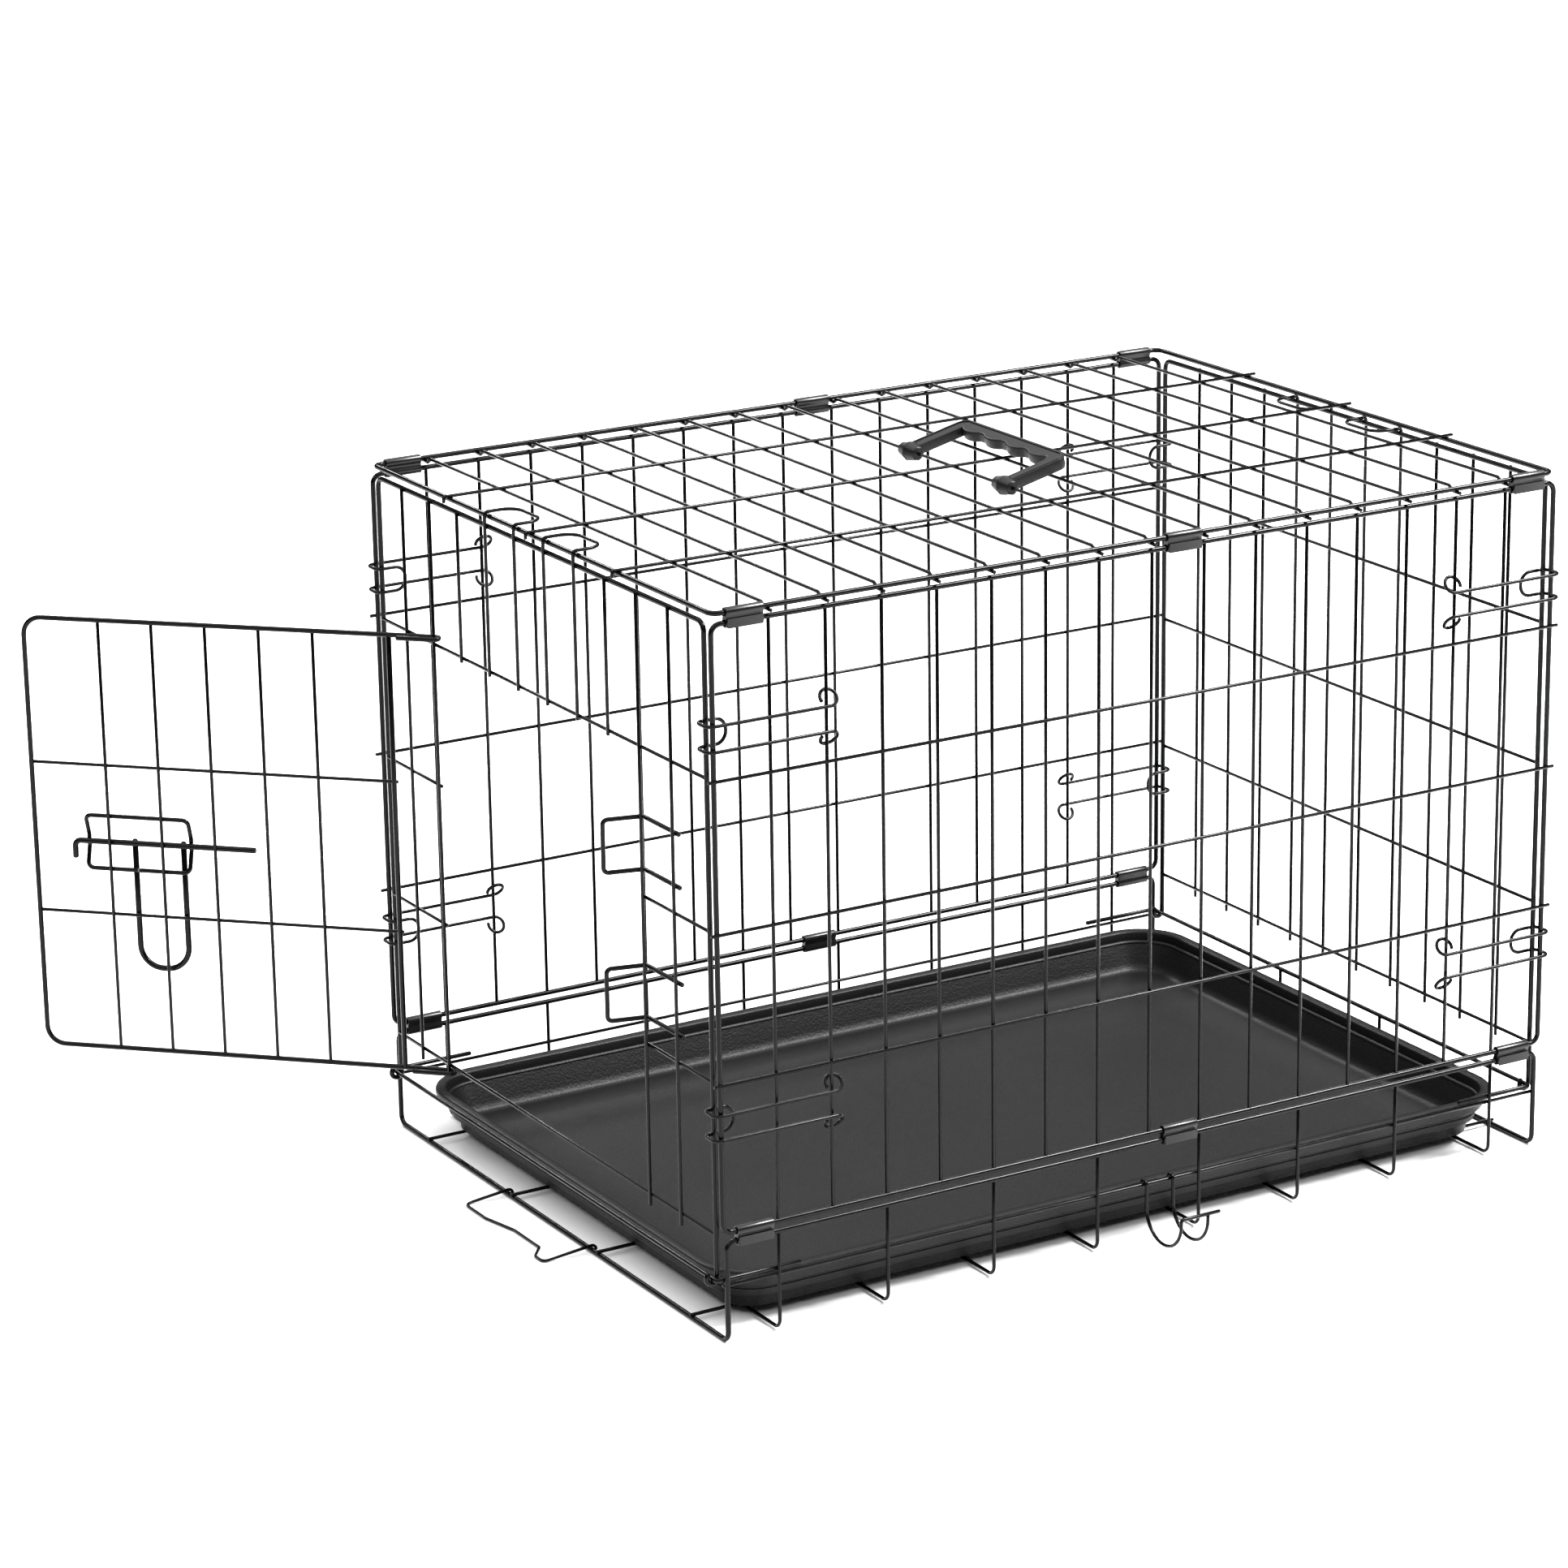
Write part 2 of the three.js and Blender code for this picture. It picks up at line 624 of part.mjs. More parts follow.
for (const [level, z] of [["bottom", SIDE_BOTTOM - HINGE_GAP / 2], ["top", SIDE_TOP + HINGE_GAP / 2]]) {
  for (const [face, side] of [["front", -1], ["back", 1]]) {
    for (const [place, x] of Object.entries(CLIP_X)) {
      const clip = piece(`hinge_clip_${level}_${face}_${place}`, hingeClip(), sheetSteel);
      clip.position.set(x, side * SIDE_Y, z);
      crate.add(clip);
    }
  }
}

// ---------------------------------------------------------------- corner hooks

// One spring wire per corner and height. Its ends are rings round the side panel's second upright, its
// two strands run outside the panel and wrap both corner posts, and its closed end points back inside.
function cornerHook(end, side, height) {
  const shankY = side * (SIDE_Y + MESH_BY_FRAME);
  const tongueY = side * (END_POST_Y - MESH_BY_FRAME);
  const ringX = end * (POST_X - 2 * SIDE_PITCH - HOOK_RING_SHIFT);
  const outX = end * (POST_X + HOOK_REACH);
  const tongueX = end * (POST_X - HOOK_TONGUE);
  const leanAngle = THREE.MathUtils.degToRad(HOOK_RING_LEAN);
  const strand = (sign) => {
    const z = height + (sign * HOOK_SPREAD) / 2;
    const lean = vec(0, -side * Math.sin(leanAngle), sign * Math.cos(leanAngle));
    const centre = vec(ringX, shankY, z).addScaledVector(lean, HOOK_RING_R);
    const ring = arc(centre, HOOK_RING_R, vec(-end, 0, 0), lean, 205, -90, 7);
    const wrap = roundCorners(
      [vec(ringX, shankY, z), vec(outX, shankY, z), vec(outX, tongueY, z), vec(tongueX, tongueY, z)],
      HOOK_REACH,
      2,
    );
    return [...ring, ...wrap.slice(1, -1)];
  };
  const tongueEnd = (sign) => vec(tongueX, tongueY, height + (sign * HOOK_SPREAD) / 2);
  const upper = strand(1);
  const lower = strand(-1).reverse();
  const tongue = roundCorners(
    [upper[upper.length - 1], tongueEnd(1), tongueEnd(-1), lower[0]],
    HOOK_SPREAD / 2,
    3,
  );
  return wire([...upper, ...tongue.slice(1, -1), ...lower], { up: Z_AXIS });
}

const HOOK_HEIGHTS = { lower: rowZ(1) - HOOK_FROM_ROW, upper: rowZ(ROW_BAYS - 1) + HOOK_FROM_ROW };

for (const [place, end] of [["door", -1], ["far", 1]]) {
  for (const [face, side] of [["front", -1], ["back", 1]]) {
    for (const [level, height] of Object.entries(HOOK_HEIGHTS)) {
      crate.add(piece(`corner_hook_${place}_${face}_${level}`, cornerHook(end, side, height), coatedWire));
    }
  }
}

// ---------------------------------------------------------------- bolt keepers

// A staple behind the two jamb uprights that comes out beside the doorway as an upright loop.
function keeper(height) {
  const behind = -END_WIRE_X + (MESH_D + RAIL_D) / 2 + FIT;
  const passY = endWireY(JAMB_WIRE) + (MESH_D + RAIL_D) / 2 + FIT;
  const outX = -END_WIRE_X - KEEPER_REACH;
  const prong = (z) => [
    vec(behind, endWireY(JAMB_WIRE + 1) - RAIL_D, z),
    vec(behind, passY, z),
    vec(outX, passY + 2 * RAIL_D, z),
  ];
  const half = KEEPER_SPREAD / 2;
  const corners = [...prong(height + half), ...prong(height - half).reverse()];
  return wire(corners, { d: RAIL_D, bend: RAIL_D, steps: 2, up: Z_AXIS });
}

const KEEPER_HEIGHTS = { lower: rowZ(1) + KEEPER_RISE, upper: rowZ(2) + KEEPER_RISE };

for (const [level, height] of Object.entries(KEEPER_HEIGHTS)) {
  crate.add(piece(`bolt_keeper_${level}`, keeper(height), coatedWire));
}

// ---------------------------------------------------------------- door and bolt

// Door pieces are drawn closed, in the door's own axes: x runs from the hinge line to the free edge,
// y points into the crate, and the hinge line is the origin.
const DOOR_PLANE = -MESH_BY_FRAME;
const doorAxes = new THREE.Group();
doorAxes.position.set(-END_WIRE_X, endWireY(HINGE_WIRE), 0);
doorAxes.rotation.z = THREE.MathUtils.degToRad(-90 - DOOR_OPEN);
crate.add(doorAxes);

const DOOR_WIDTH = (JAMB_WIRE - HINGE_WIRE) * END_PITCH + DOOR_LAP;
const DOOR_TOP = HEADER_Z + DOOR_OVER_HEADER;
const DOOR_BOTTOM = END_SILL_Z - DOOR_UNDER_SILL;
const DOOR_ROWS = [rowZ(1) - DOOR_ROW_DROP, rowZ(2)];
const DOOR_WIRE_PITCH = (DOOR_WIDTH - DOOR_STILE - 2 * DOOR_EDGE_BAY) / (DOOR_WIRES - 1);
const doorWireX = (k) => DOOR_STILE + DOOR_EDGE_BAY + k * DOOR_WIRE_PITCH;

// The frame wire turns round the hinge upright at top and bottom and doubles back on the inside.
function doorFrame() {
  const turn = (z) => arc(vec(0, 0, z), MESH_BY_FRAME, Y_AXIS, X_AXIS.clone().negate(), 0, 180, 6);
  const topTurn = turn(DOOR_TOP);
  const bottomTurn = turn(DOOR_BOTTOM).reverse();
  const free = roundCorners(
    [
      topTurn[topTurn.length - 1],
      vec(DOOR_WIDTH, DOOR_PLANE, DOOR_TOP),
      vec(DOOR_WIDTH, DOOR_PLANE, DOOR_BOTTOM),
      bottomTurn[0],
    ],
    2 * FRAME_BEND,
    4,
  );
  const tail = (z) => vec(DOOR_TAIL, MESH_BY_FRAME, z);
  const path = [tail(DOOR_TOP), ...topTurn, ...free.slice(1, -1), ...bottomTurn, tail(DOOR_BOTTOM)];
  return wire(path, { d: FRAME_D, up: Z_AXIS });
}

function doorPanel() {
  const parts = [doorFrame()];
  const upright = (x, d) =>
    wire([vec(x, DOOR_PLANE, DOOR_BOTTOM), vec(x, DOOR_PLANE, DOOR_TOP)], { d, up: Y_AXIS });
  parts.push(upright(DOOR_STILE, FRAME_D));
  for (let k = 0; k < DOOR_WIRES; k++) {
    parts.push(upright(doorWireX(k), MESH_D));
  }
  const rowY = DOOR_PLANE - MESH_ON_MESH;
  for (const z of DOOR_ROWS) {
    parts.push(wire([vec(DOOR_STILE - MESH_D, rowY, z), vec(DOOR_WIDTH + MESH_D, rowY, z)]));
  }
  return join(parts);
}

doorAxes.add(piece("door_panel", doorPanel(), coatedWire));

// The bolt runs along the outside of the door, clear of its heavy free upright.
const BOLT_Y = DOOR_PLANE - (FRAME_D + ROD_D) / 2 - FIT;
const BOLT_Z = KEEPER_HEIGHTS.lower + BOLT_OVER_KEEPER;
const BOLT_TIP = DOOR_WIDTH - BOLT_SETBACK;
const GUIDE_NEAR = doorWireX(DOOR_WIRES - 2) - GUIDE_OVERHANG;
const GUIDE_FAR = doorWireX(DOOR_WIRES - 1) + GUIDE_OVERHANG;

// A wire rectangle on two door uprights. Its short sides bow out over the bolt and hold it.
function boltGuide() {
  const backY = DOOR_PLANE - (MESH_D + RAIL_D) / 2 - FIT;
  const bowY = BOLT_Y - (ROD_D + RAIL_D) / 2 - FIT;
  const half = GUIDE_HEIGHT / 2;
  const top = BOLT_Z + half;
  const bottom = BOLT_Z - half;
  const bow = (x) => [vec(x, backY, top), vec(x, bowY, BOLT_Z + ROD_D), vec(x, bowY, BOLT_Z - ROD_D)];
  const middle = (GUIDE_NEAR + GUIDE_FAR) / 2;
  const corners = [
    vec(middle - FIT, backY, bottom),
    vec(GUIDE_NEAR, backY, bottom),
    ...bow(GUIDE_NEAR).reverse(),
    ...bow(GUIDE_FAR),
    vec(GUIDE_FAR, backY, bottom),
    vec(middle + FIT, backY, bottom),
  ];
  return wire(corners, { d: RAIL_D, bend: RAIL_D, steps: 2, up: Y_AXIS });
}

doorAxes.add(piece("bolt_guide", boltGuide(), coatedWire));

// The bolt's tip turns down behind the keeper. A long U grip hangs from it outside the guide.
function slideBolt() {
  const rod = wire(
    [
      vec(BOLT_TIP - BOLT_LENGTH, BOLT_Y, BOLT_Z),
      vec(BOLT_TIP, BOLT_Y, BOLT_Z),
      vec(BOLT_TIP, BOLT_Y, BOLT_Z - BOLT_TIP_DROP),
    ],
    { d: ROD_D, bend: ROD_D, steps: 3, up: Y_AXIS },
  );
  const gripY = DOOR_PLANE - (MESH_D + ROD_D) / 2 - RAIL_D - 2 * FIT;
  const near = GUIDE_NEAR + GRIP_FROM_GUIDE;
  const far = near + GRIP_SPREAD;
  const grip = wire(
    [
      vec(near, gripY, BOLT_Z + ROD_D / 2),
      vec(near, gripY, BOLT_Z - GRIP_DROP),
      vec(far, gripY, BOLT_Z - GRIP_DROP),
      vec(far, gripY, BOLT_Z + ROD_D / 2),
    ],
    { d: ROD_D, bend: (far - near) / 2.2, steps: 4, up: Y_AXIS },
  );
  return rod.add(grip);
}

doorAxes.add(piece("slide_bolt", slideBolt(), coatedWire));

// ---------------------------------------------------------------- tray

function roundedRectangle(halfX, halfY, radius) {
  const outline = new THREE.Shape();
  outline.absarc(halfX - radius, halfY - radius, radius, 0, Math.PI / 2, false);
  outline.absarc(radius - halfX, halfY - radius, radius, Math.PI / 2, Math.PI, false);
  outline.absarc(radius - halfX, radius - halfY, radius, Math.PI, 1.5 * Math.PI, false);
  outline.absarc(halfX - radius, radius - halfY, radius, 1.5 * Math.PI, 2 * Math.PI, false);
  return outline;
}

// A moulded pan: flat floor, a wall that steps out twice, and a level rim.
function tray() {
  const halfX = BASE_X - TRAY_END_GAP;
  const halfY = SIDE_Y - TRAY_SIDE_GAP;
  const storey = (TRAY_HEIGHT - TRAY_WALL) / 3;
  const ring = (inset, width, z, height) => {
    const outline = roundedRectangle(halfX - inset, halfY - inset, TRAY_CORNER_R - inset);
    const hole = roundedRectangle(halfX - inset - width, halfY - inset - width, TRAY_CORNER_R - inset - width);
    outline.holes.push(new THREE.Path(hole.getPoints(2).reverse()));
    const body = prism(outline, height, 2);
    body.translate(0, 0, z);
    return toSolid(body);
  };
  const foot = TRAY_LIP + 2 * TRAY_STEP;
  const floor = prism(roundedRectangle(halfX - foot, halfY - foot, TRAY_CORNER_R - foot), TRAY_WALL, 2);
  floor.translate(0, 0, TRAY_Z);
  const z = (n) => TRAY_Z + n * storey;
  return join([
    toSolid(floor),
    ring(foot, TRAY_WALL, z(0), storey + TRAY_WALL),
    ring(foot - TRAY_STEP, TRAY_STEP + TRAY_WALL, z(1), TRAY_WALL),
    ring(foot - TRAY_STEP, TRAY_WALL, z(1), storey + TRAY_WALL),
    ring(TRAY_LIP, TRAY_STEP + TRAY_WALL, z(2), TRAY_WALL),
    ring(TRAY_LIP, TRAY_WALL, z(2), storey + TRAY_WALL),
    ring(0, TRAY_LIP + TRAY_WALL, z(3), TRAY_WALL),
  ]);
}

crate.add(piece("tray", tray(), trayPlastic));

// ---------------------------------------------------------------- tray gate

// A wire stop that hinges on the door-end floor wire. It lies lowered, with its bar on the floor, so
// the tray is free to slide over it.
function trayGate() {
  const hingeR = (FRAME_D + GATE_D) / 2 + FIT;
  const hinge = (y) => vec(-BASE_X, y, FLOOR_FRAME_Z);
  const curl = (y) => arc(hinge(y), hingeR, X_AXIS, Z_AXIS, 0, 90, 3);
  const [near, far] = GATE_SPAN;
  const barX = -BASE_X - GATE_HEIGHT;
  const barZ = GATE_D / 2 + FIT / 2;
  const span = far - near;
  const bar = roundCorners(
    [
      vec(-BASE_X, near, FLOOR_FRAME_Z + hingeR),
      vec(barX, near, barZ),
      vec(barX, near + 0.1 * span, barZ),
      vec(barX + GATE_DIP, near + 0.2 * span, barZ),
      vec(barX + GATE_DIP, near + 0.5 * span, barZ),
      vec(barX + GATE_DIP / 3, near + 0.75 * span, barZ),
      vec(barX + GATE_DIP / 3, far, barZ),
      vec(-BASE_X, far, FLOOR_FRAME_Z + hingeR),
    ],
    4,
    2,
  );
  return wire([...curl(near), ...bar.slice(1, -1), ...curl(far).reverse()], { d: GATE_D, up: Z_AXIS });
}

crate.add(piece("tray_gate", trayGate(), coatedWire));

// ---------------------------------------------------------------- carry handle

// A moulded loop that snaps over the middle cross wire of the top panel and turns on it.
// It is drawn level, with the wire as its origin, then tilted to where it lies.
function carryHandle() {
  const half = HANDLE_FEET / 2 + HANDLE_ARM / 2;
  const inside = HANDLE_FEET / 2 - HANDLE_ARM / 2;
  const gripX = HANDLE_REACH - HANDLE_ARM;
  const edge = (shape, inset) => {
    const radius = HANDLE_CORNER - inset;
    const centreX = HANDLE_REACH - HANDLE_CORNER;
    const centreY = half - HANDLE_CORNER;
    shape.moveTo(0, inset - half);
    shape.absarc(centreX, -centreY, radius, -Math.PI / 2, 0, false);
    shape.absarc(centreX, centreY, radius, 0, Math.PI / 2, false);
    shape.lineTo(0, half - inset);
  };
  const outline = new THREE.Shape();
  edge(outline, 0);
  outline.lineTo(0, inside);
  outline.lineTo(gripX, inside);
  const scallop = (2 * inside) / HANDLE_SCALLOPS;
  for (let i = 0; i < HANDLE_SCALLOPS; i++) {
    const y = inside - i * scallop;
    outline.lineTo(gripX - HANDLE_SCALLOP_DEPTH, y - 0.12 * scallop);
    outline.lineTo(gripX, y - 0.38 * scallop);
    outline.lineTo(gripX, y - 0.74 * scallop);
  }
  outline.lineTo(gripX, -inside);
  outline.lineTo(0, -inside);
  const loop = prism(outline, HANDLE_THICKNESS, 4);
  loop.translate(0, 0, -HANDLE_THICKNESS / 2);
  const ridgeShape = new THREE.Shape();
  edge(ridgeShape, 0);
  const innerEdge = new THREE.Shape();
  edge(innerEdge, HANDLE_RIDGE);
  for (const p of innerEdge.getPoints(4).reverse()) {
    ridgeShape.lineTo(p.x, p.y);
  }
  const ridge = prism(ridgeShape, HANDLE_THICKNESS / 2 + HANDLE_RIDGE_RISE, 4);
  const foot = (side) => {
    const taper = (turn) => {
      const overlap = HANDLE_FOOT / 2 + 1;
      const body = new THREE.CylinderGeometry(HANDLE_FOOT_END_R, HANDLE_FOOT_R, overlap, 8);
      body.translate(0, HANDLE_FOOT / 2 - overlap / 2, 0);
      body.rotateX(turn);
      body.translate(0, (side * HANDLE_FEET) / 2, 0);
      return toSolid(body);
    };
    return taper(0).add(taper(Math.PI));
  };
  const bore = new THREE.CylinderGeometry(MESH_D / 2 + FIT, MESH_D / 2 + FIT, 2 * HANDLE_FEET, 10);
  return join([toSolid(loop), toSolid(ridge), foot(-1), foot(1)]).subtract(toSolid(bore));
}

const handle = piece("carry_handle", carryHandle(), handlePlastic);
handle.position.set(sideWireX(SIDE_BAYS / 2), 0, TOP_CROSS_Z);
handle.rotation.y = THREE.MathUtils.degToRad(-HANDLE_TILT);
crate.add(handle);

// ---------------------------------------------------------------- fold lock hook

// Two J hooks joined by a bar. They hang from the front long rail and hold the crate when it is folded.
function foldHook() {
  const curlR = MESH_D + FIT;
  const railY = -SIDE_RAIL_Y;
  const legY = railY - curlR;
  const centreZ = FLOOR_CROSS_Z + MESH_D + FOLD_HOOK_R;
  const tipY = legY - 2 * FOLD_HOOK_R;
  const outward = Y_AXIS.clone().negate();
  const leg = (x) => [
    ...arc(vec(x, railY, SIDE_RAIL_Z), curlR, outward, Z_AXIS, 220, 0, 6),
    ...arc(vec(x, legY - FOLD_HOOK_R, centreZ), FOLD_HOOK_R, Y_AXIS, Z_AXIS, 0, -180, 6),
  ];
  const [first, second] = FOLD_HOOK_X;
  const bar = roundCorners(
    [
      vec(first, tipY, centreZ),
      vec(first, tipY, FOLD_HOOK_TIP_Z),
      vec(second + FOLD_HOOK_TAIL, tipY, FOLD_HOOK_TIP_Z),
    ],
    MESH_D,
    2,
  );
  const firstWire = wire([...leg(first), ...bar.slice(1)], { up: X_AXIS });
  const secondWire = wire([...leg(second), vec(second, tipY, FOLD_HOOK_TIP_Z)], { up: X_AXIS });
  return firstWire.add(secondWire);
}

crate.add(piece("fold_lock_hook", foldHook(), coatedWire));

// ---------------------------------------------------------------- origin

// The part's origin is on the floor, under the middle of its overall box with the door open.
const object = new THREE.Group();
object.add(crate);
const box = new THREE.Box3().setFromObject(object, true);
crate.position.set(-(box.min.x + box.max.x) / 2, -(box.min.y + box.max.y) / 2, -box.min.z);

export default object;
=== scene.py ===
from math import cos, pi, radians, sin, tan

import bpy
from mathutils import Matrix, Vector


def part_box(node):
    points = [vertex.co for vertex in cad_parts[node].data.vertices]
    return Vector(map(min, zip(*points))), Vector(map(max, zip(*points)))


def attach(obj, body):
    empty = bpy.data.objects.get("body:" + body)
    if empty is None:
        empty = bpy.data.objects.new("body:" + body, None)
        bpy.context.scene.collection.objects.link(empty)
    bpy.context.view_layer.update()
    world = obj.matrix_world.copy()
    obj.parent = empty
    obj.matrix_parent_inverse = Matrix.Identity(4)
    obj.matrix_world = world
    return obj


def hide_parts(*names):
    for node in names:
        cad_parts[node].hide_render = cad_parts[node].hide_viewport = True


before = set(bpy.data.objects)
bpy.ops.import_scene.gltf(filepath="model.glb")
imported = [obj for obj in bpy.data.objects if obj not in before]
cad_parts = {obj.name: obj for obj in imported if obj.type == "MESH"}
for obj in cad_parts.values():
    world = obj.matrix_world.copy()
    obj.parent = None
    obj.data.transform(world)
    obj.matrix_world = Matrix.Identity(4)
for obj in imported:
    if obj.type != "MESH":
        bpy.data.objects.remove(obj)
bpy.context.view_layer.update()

# ---------------------------------------------------------------- base basket
# The bottom of the crate: a heavy wire bent to a rim, four legs and two floor ends, thin U wires
# hung from it, long floor wires, and rails for the tray sides and the end panels. Drawn steel
# wire, spot welded where it crosses, then dipped and baked black.

FRAME_D = 3.4  # mm, heavy wire
MESH_D = 2.3  # mm, thin wire
RAIL_D = 3.0
POST_X = 305  # mm from the crate's middle to its corner posts
SIDE_Y = 218  # mm from the crate's middle to its side panels
SIDE_PITCH = 38.125
BASE_X = 302.5
RIM_Z = 65.2
FLOOR_END_Z = 1.7
FLOOR_LONG_Z = 3.82
FLOOR_CROSS_Z = 2.02
SIDE_RAIL = (216.2, 37.2)
END_RAIL_Z = 41
END_RAIL_Y = 215.85
DOOR_RAIL_X = -308.6
FAR_RAIL_X = 301.4
FRAME_BEND = 6

front_low, front_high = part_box("side_panel_front")
_, back_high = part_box("side_panel_back")
CRATE_X = (front_low[0] + front_high[0]) / 2
CRATE_Y = (front_low[1] + back_high[1]) / 2


def place(point):
    """A point in mm from the crate's middle on the floor, in the part's frame in metres."""
    return Vector((CRATE_X + point[0] / 1000, CRATE_Y + point[1] / 1000, point[2] / 1000))


def bend(corners, radius, closed=False, steps=6):
    """The centre line of a wire through these corners, each bent to the radius."""
    path = [Vector(corner) for corner in corners]
    if closed:
        path = [path[-1], *path, path[0]]
    line = [] if closed else [path[0]]
    for before, corner, after in zip(path, path[1:], path[2:]):
        back, ahead = before - corner, after - corner
        room = 0.49 * min(back.length, ahead.length)
        back.normalize()
        ahead.normalize()
        half = back.angle(ahead) / 2
        setback = min(radius / tan(half), room)
        centre = corner + (back + ahead).normalized() * (setback / cos(half))
        start = corner + back * setback - centre
        axis = start.cross(corner + ahead * setback - centre).normalized()
        sweep = pi - 2 * half
        if setback < 0.9 * room:
            line.append(corner + back * (setback + 0.5))
        line += [centre + Matrix.Rotation(sweep * s / steps, 3, axis) @ start for s in range(steps + 1)]
        if setback < 0.9 * room:
            line.append(corner + ahead * (setback + 0.5))
    return line if closed else [*line, path[-1]]


def curl(centre, radius, u, v, start, end, steps=14):
    """Points on an arc round a centre, from one angle in degrees to another."""
    u, v = Vector(u), Vector(v)
    angles = [radians(start + (end - start) * i / steps) for i in range(steps + 1)]
    return [Vector(centre) + u * (radius * cos(a)) + v * (radius * sin(a)) for a in angles]


def wire_stock(runs, diameter):
    """Round wire of one diameter along these lines, with eased ends, as a mesh."""
    bpy.ops.object.select_all(action="DESELECT")
    bpy.ops.curve.primitive_nurbs_path_add()
    stock = bpy.context.object
    stock.data.splines.clear()
    for line, closed in runs:
        points, sizes = list(line), [1.0] * len(line)
        if not closed:
            ease = 0.2 * diameter
            points.insert(1, points[0] + (points[1] - points[0]).normalized() * ease)
            points.insert(-1, points[-1] + (points[-2] - points[-1]).normalized() * ease)
            sizes = [0.72, *[1.0] * len(line), 0.72]
        spline = stock.data.splines.new("POLY")
        spline.points.add(len(points) - 1)
        for knot, point, size in zip(spline.points, points, sizes):
            knot.co = (*place(point), 1)
            knot.radius = size
        spline.use_cyclic_u = closed
    stock.data.dimensions = "3D"
    stock.data.bevel_depth = diameter / 2000
    stock.data.bevel_resolution = 4
    stock.data.use_fill_caps = True
    bpy.ops.object.convert(target="MESH")
    return stock


def weld(name, wires, finish):
    """One welded piece from (line, diameter) or (line, diameter, True) for a closed loop."""
    parts = []
    for diameter in sorted({wire[1] for wire in wires}):
        runs = [(wire[0], len(wire) > 2) for wire in wires if wire[1] == diameter]
        parts.append(wire_stock(runs, diameter))
    for part in parts:
        part.select_set(True)
    if len(parts) > 1:
        bpy.ops.object.join()
    piece = bpy.context.object
    piece.name = piece.data.name = name
    bpy.ops.object.shade_smooth_by_angle(angle=radians(40))
    piece.data.materials.clear()
    piece.data.materials.append(finish)
    return piece


def linear(hex_colour):
    """An sRGB hex colour as linear RGBA."""
    channels = [int(hex_colour[i : i + 2], 16) / 255 for i in (1, 3, 5)]
    return (*[c / 12.92 if c <= 0.04045 else ((c + 0.055) / 1.055) ** 2.4 for c in channels], 1)


def add_node(tree, kind, settings=None, links=None):
    """A shader node with its settings, and its inputs linked from other nodes' outputs."""
    node = tree.nodes.new(kind)
    for key, value in (settings or {}).items():
        if key in node.inputs:
            node.inputs[key].default_value = value
        else:
            setattr(node, key, value)
    for key, (source, output) in (links or {}).items():
        tree.links.new(source.outputs[output], node.inputs[key])
    return node


# Baked black electro-coat: a thin glossy paint that follows the wire, a little uneven where it
# ran in the dip. The eye sees near black with a crisp bright line along each wire.
coated_wire = bpy.data.materials.new("electro_coated_steel_wire")
coated_wire.use_nodes = True
tree = coated_wire.node_tree
tree.nodes.clear()
spot = add_node(tree, "ShaderNodeTexCoord")
runs_of_paint = add_node(
    tree,
    "ShaderNodeTexNoise",
    {"Scale": 90.0, "Detail": 3.0, "Roughness": 0.6},  # patches about 11 mm long
    {"Vector": (spot, "Object")},
)
shade = add_node(tree, "ShaderNodeValToRGB", None, {"Fac": (runs_of_paint, "Fac")})
shade.color_ramp.elements[0].position = 0.3
shade.color_ramp.elements[0].color = linear("#030304")
shade.color_ramp.elements[1].position = 0.75
shade.color_ramp.elements[1].color = linear("#070708")
gloss = add_node(
    tree,
    "ShaderNodeMapRange",
    {"From Min": 0.3, "From Max": 0.7, "To Min": 0.16, "To Max": 0.26},
    {"Value": (runs_of_paint, "Fac")},
)
peel = add_node(
    tree,
    "ShaderNodeTexNoise",
    {"Scale": 900.0, "Detail": 2.0},  # paint ripple about 1 mm across
    {"Vector": (spot, "Object")},
)
ripple = add_node(tree, "ShaderNodeBump", {"Strength": 0.12, "Distance": 0.0001}, {"Height": (peel, "Fac")})
paint = add_node(
    tree,
    "ShaderNodeBsdfPrincipled",
    {"IOR": 1.22},
    {"Base Color": (shade, "Color"), "Roughness": (gloss, "Result"), "Normal": (ripple, "Normal")},
)
add_node(tree, "ShaderNodeOutputMaterial", None, {"Surface": (paint, "BSDF")})

corner_legs = [
    (-BASE_X, -SIDE_Y, RIM_Z),
    (BASE_X, -SIDE_Y, RIM_Z),
    (BASE_X, -SIDE_Y, FLOOR_END_Z),
    (BASE_X, SIDE_Y, FLOOR_END_Z),
    (BASE_X, SIDE_Y, RIM_Z),
    (-BASE_X, SIDE_Y, RIM_Z),
    (-BASE_X, SIDE_Y, FLOOR_END_Z),
    (-BASE_X, -SIDE_Y, FLOOR_END_Z),
]
base_wires = [(bend(corner_legs, FRAME_BEND, closed=True), FRAME_D, True)]
for k in range(1, 16, 2):
    x = -POST_X + k * SIDE_PITCH
    cradle = [
        (x, -SIDE_Y, RIM_Z),
        (x, -SIDE_Y, FLOOR_CROSS_Z),
        (x, SIDE_Y, FLOOR_CROSS_Z),
        (x, SIDE_Y, RIM_Z),
    ]
    base_wires.append((bend(cradle, FRAME_BEND), MESH_D))
for y in (-175, 175):
    base_wires.append((bend([(-BASE_X - 2.3, y, FLOOR_LONG_Z), (BASE_X + 2.3, y, FLOOR_LONG_Z)], 0), MESH_D))
for y in (-57, 57):
    stop_x = FAR_RAIL_X - 2.15
    floor_wire = [(-BASE_X - 2.3, y, FLOOR_LONG_Z), (stop_x, y, FLOOR_LONG_Z), (stop_x, y, END_RAIL_Z + 1.5)]
    base_wires.append((bend(floor_wire, MESH_D), MESH_D))
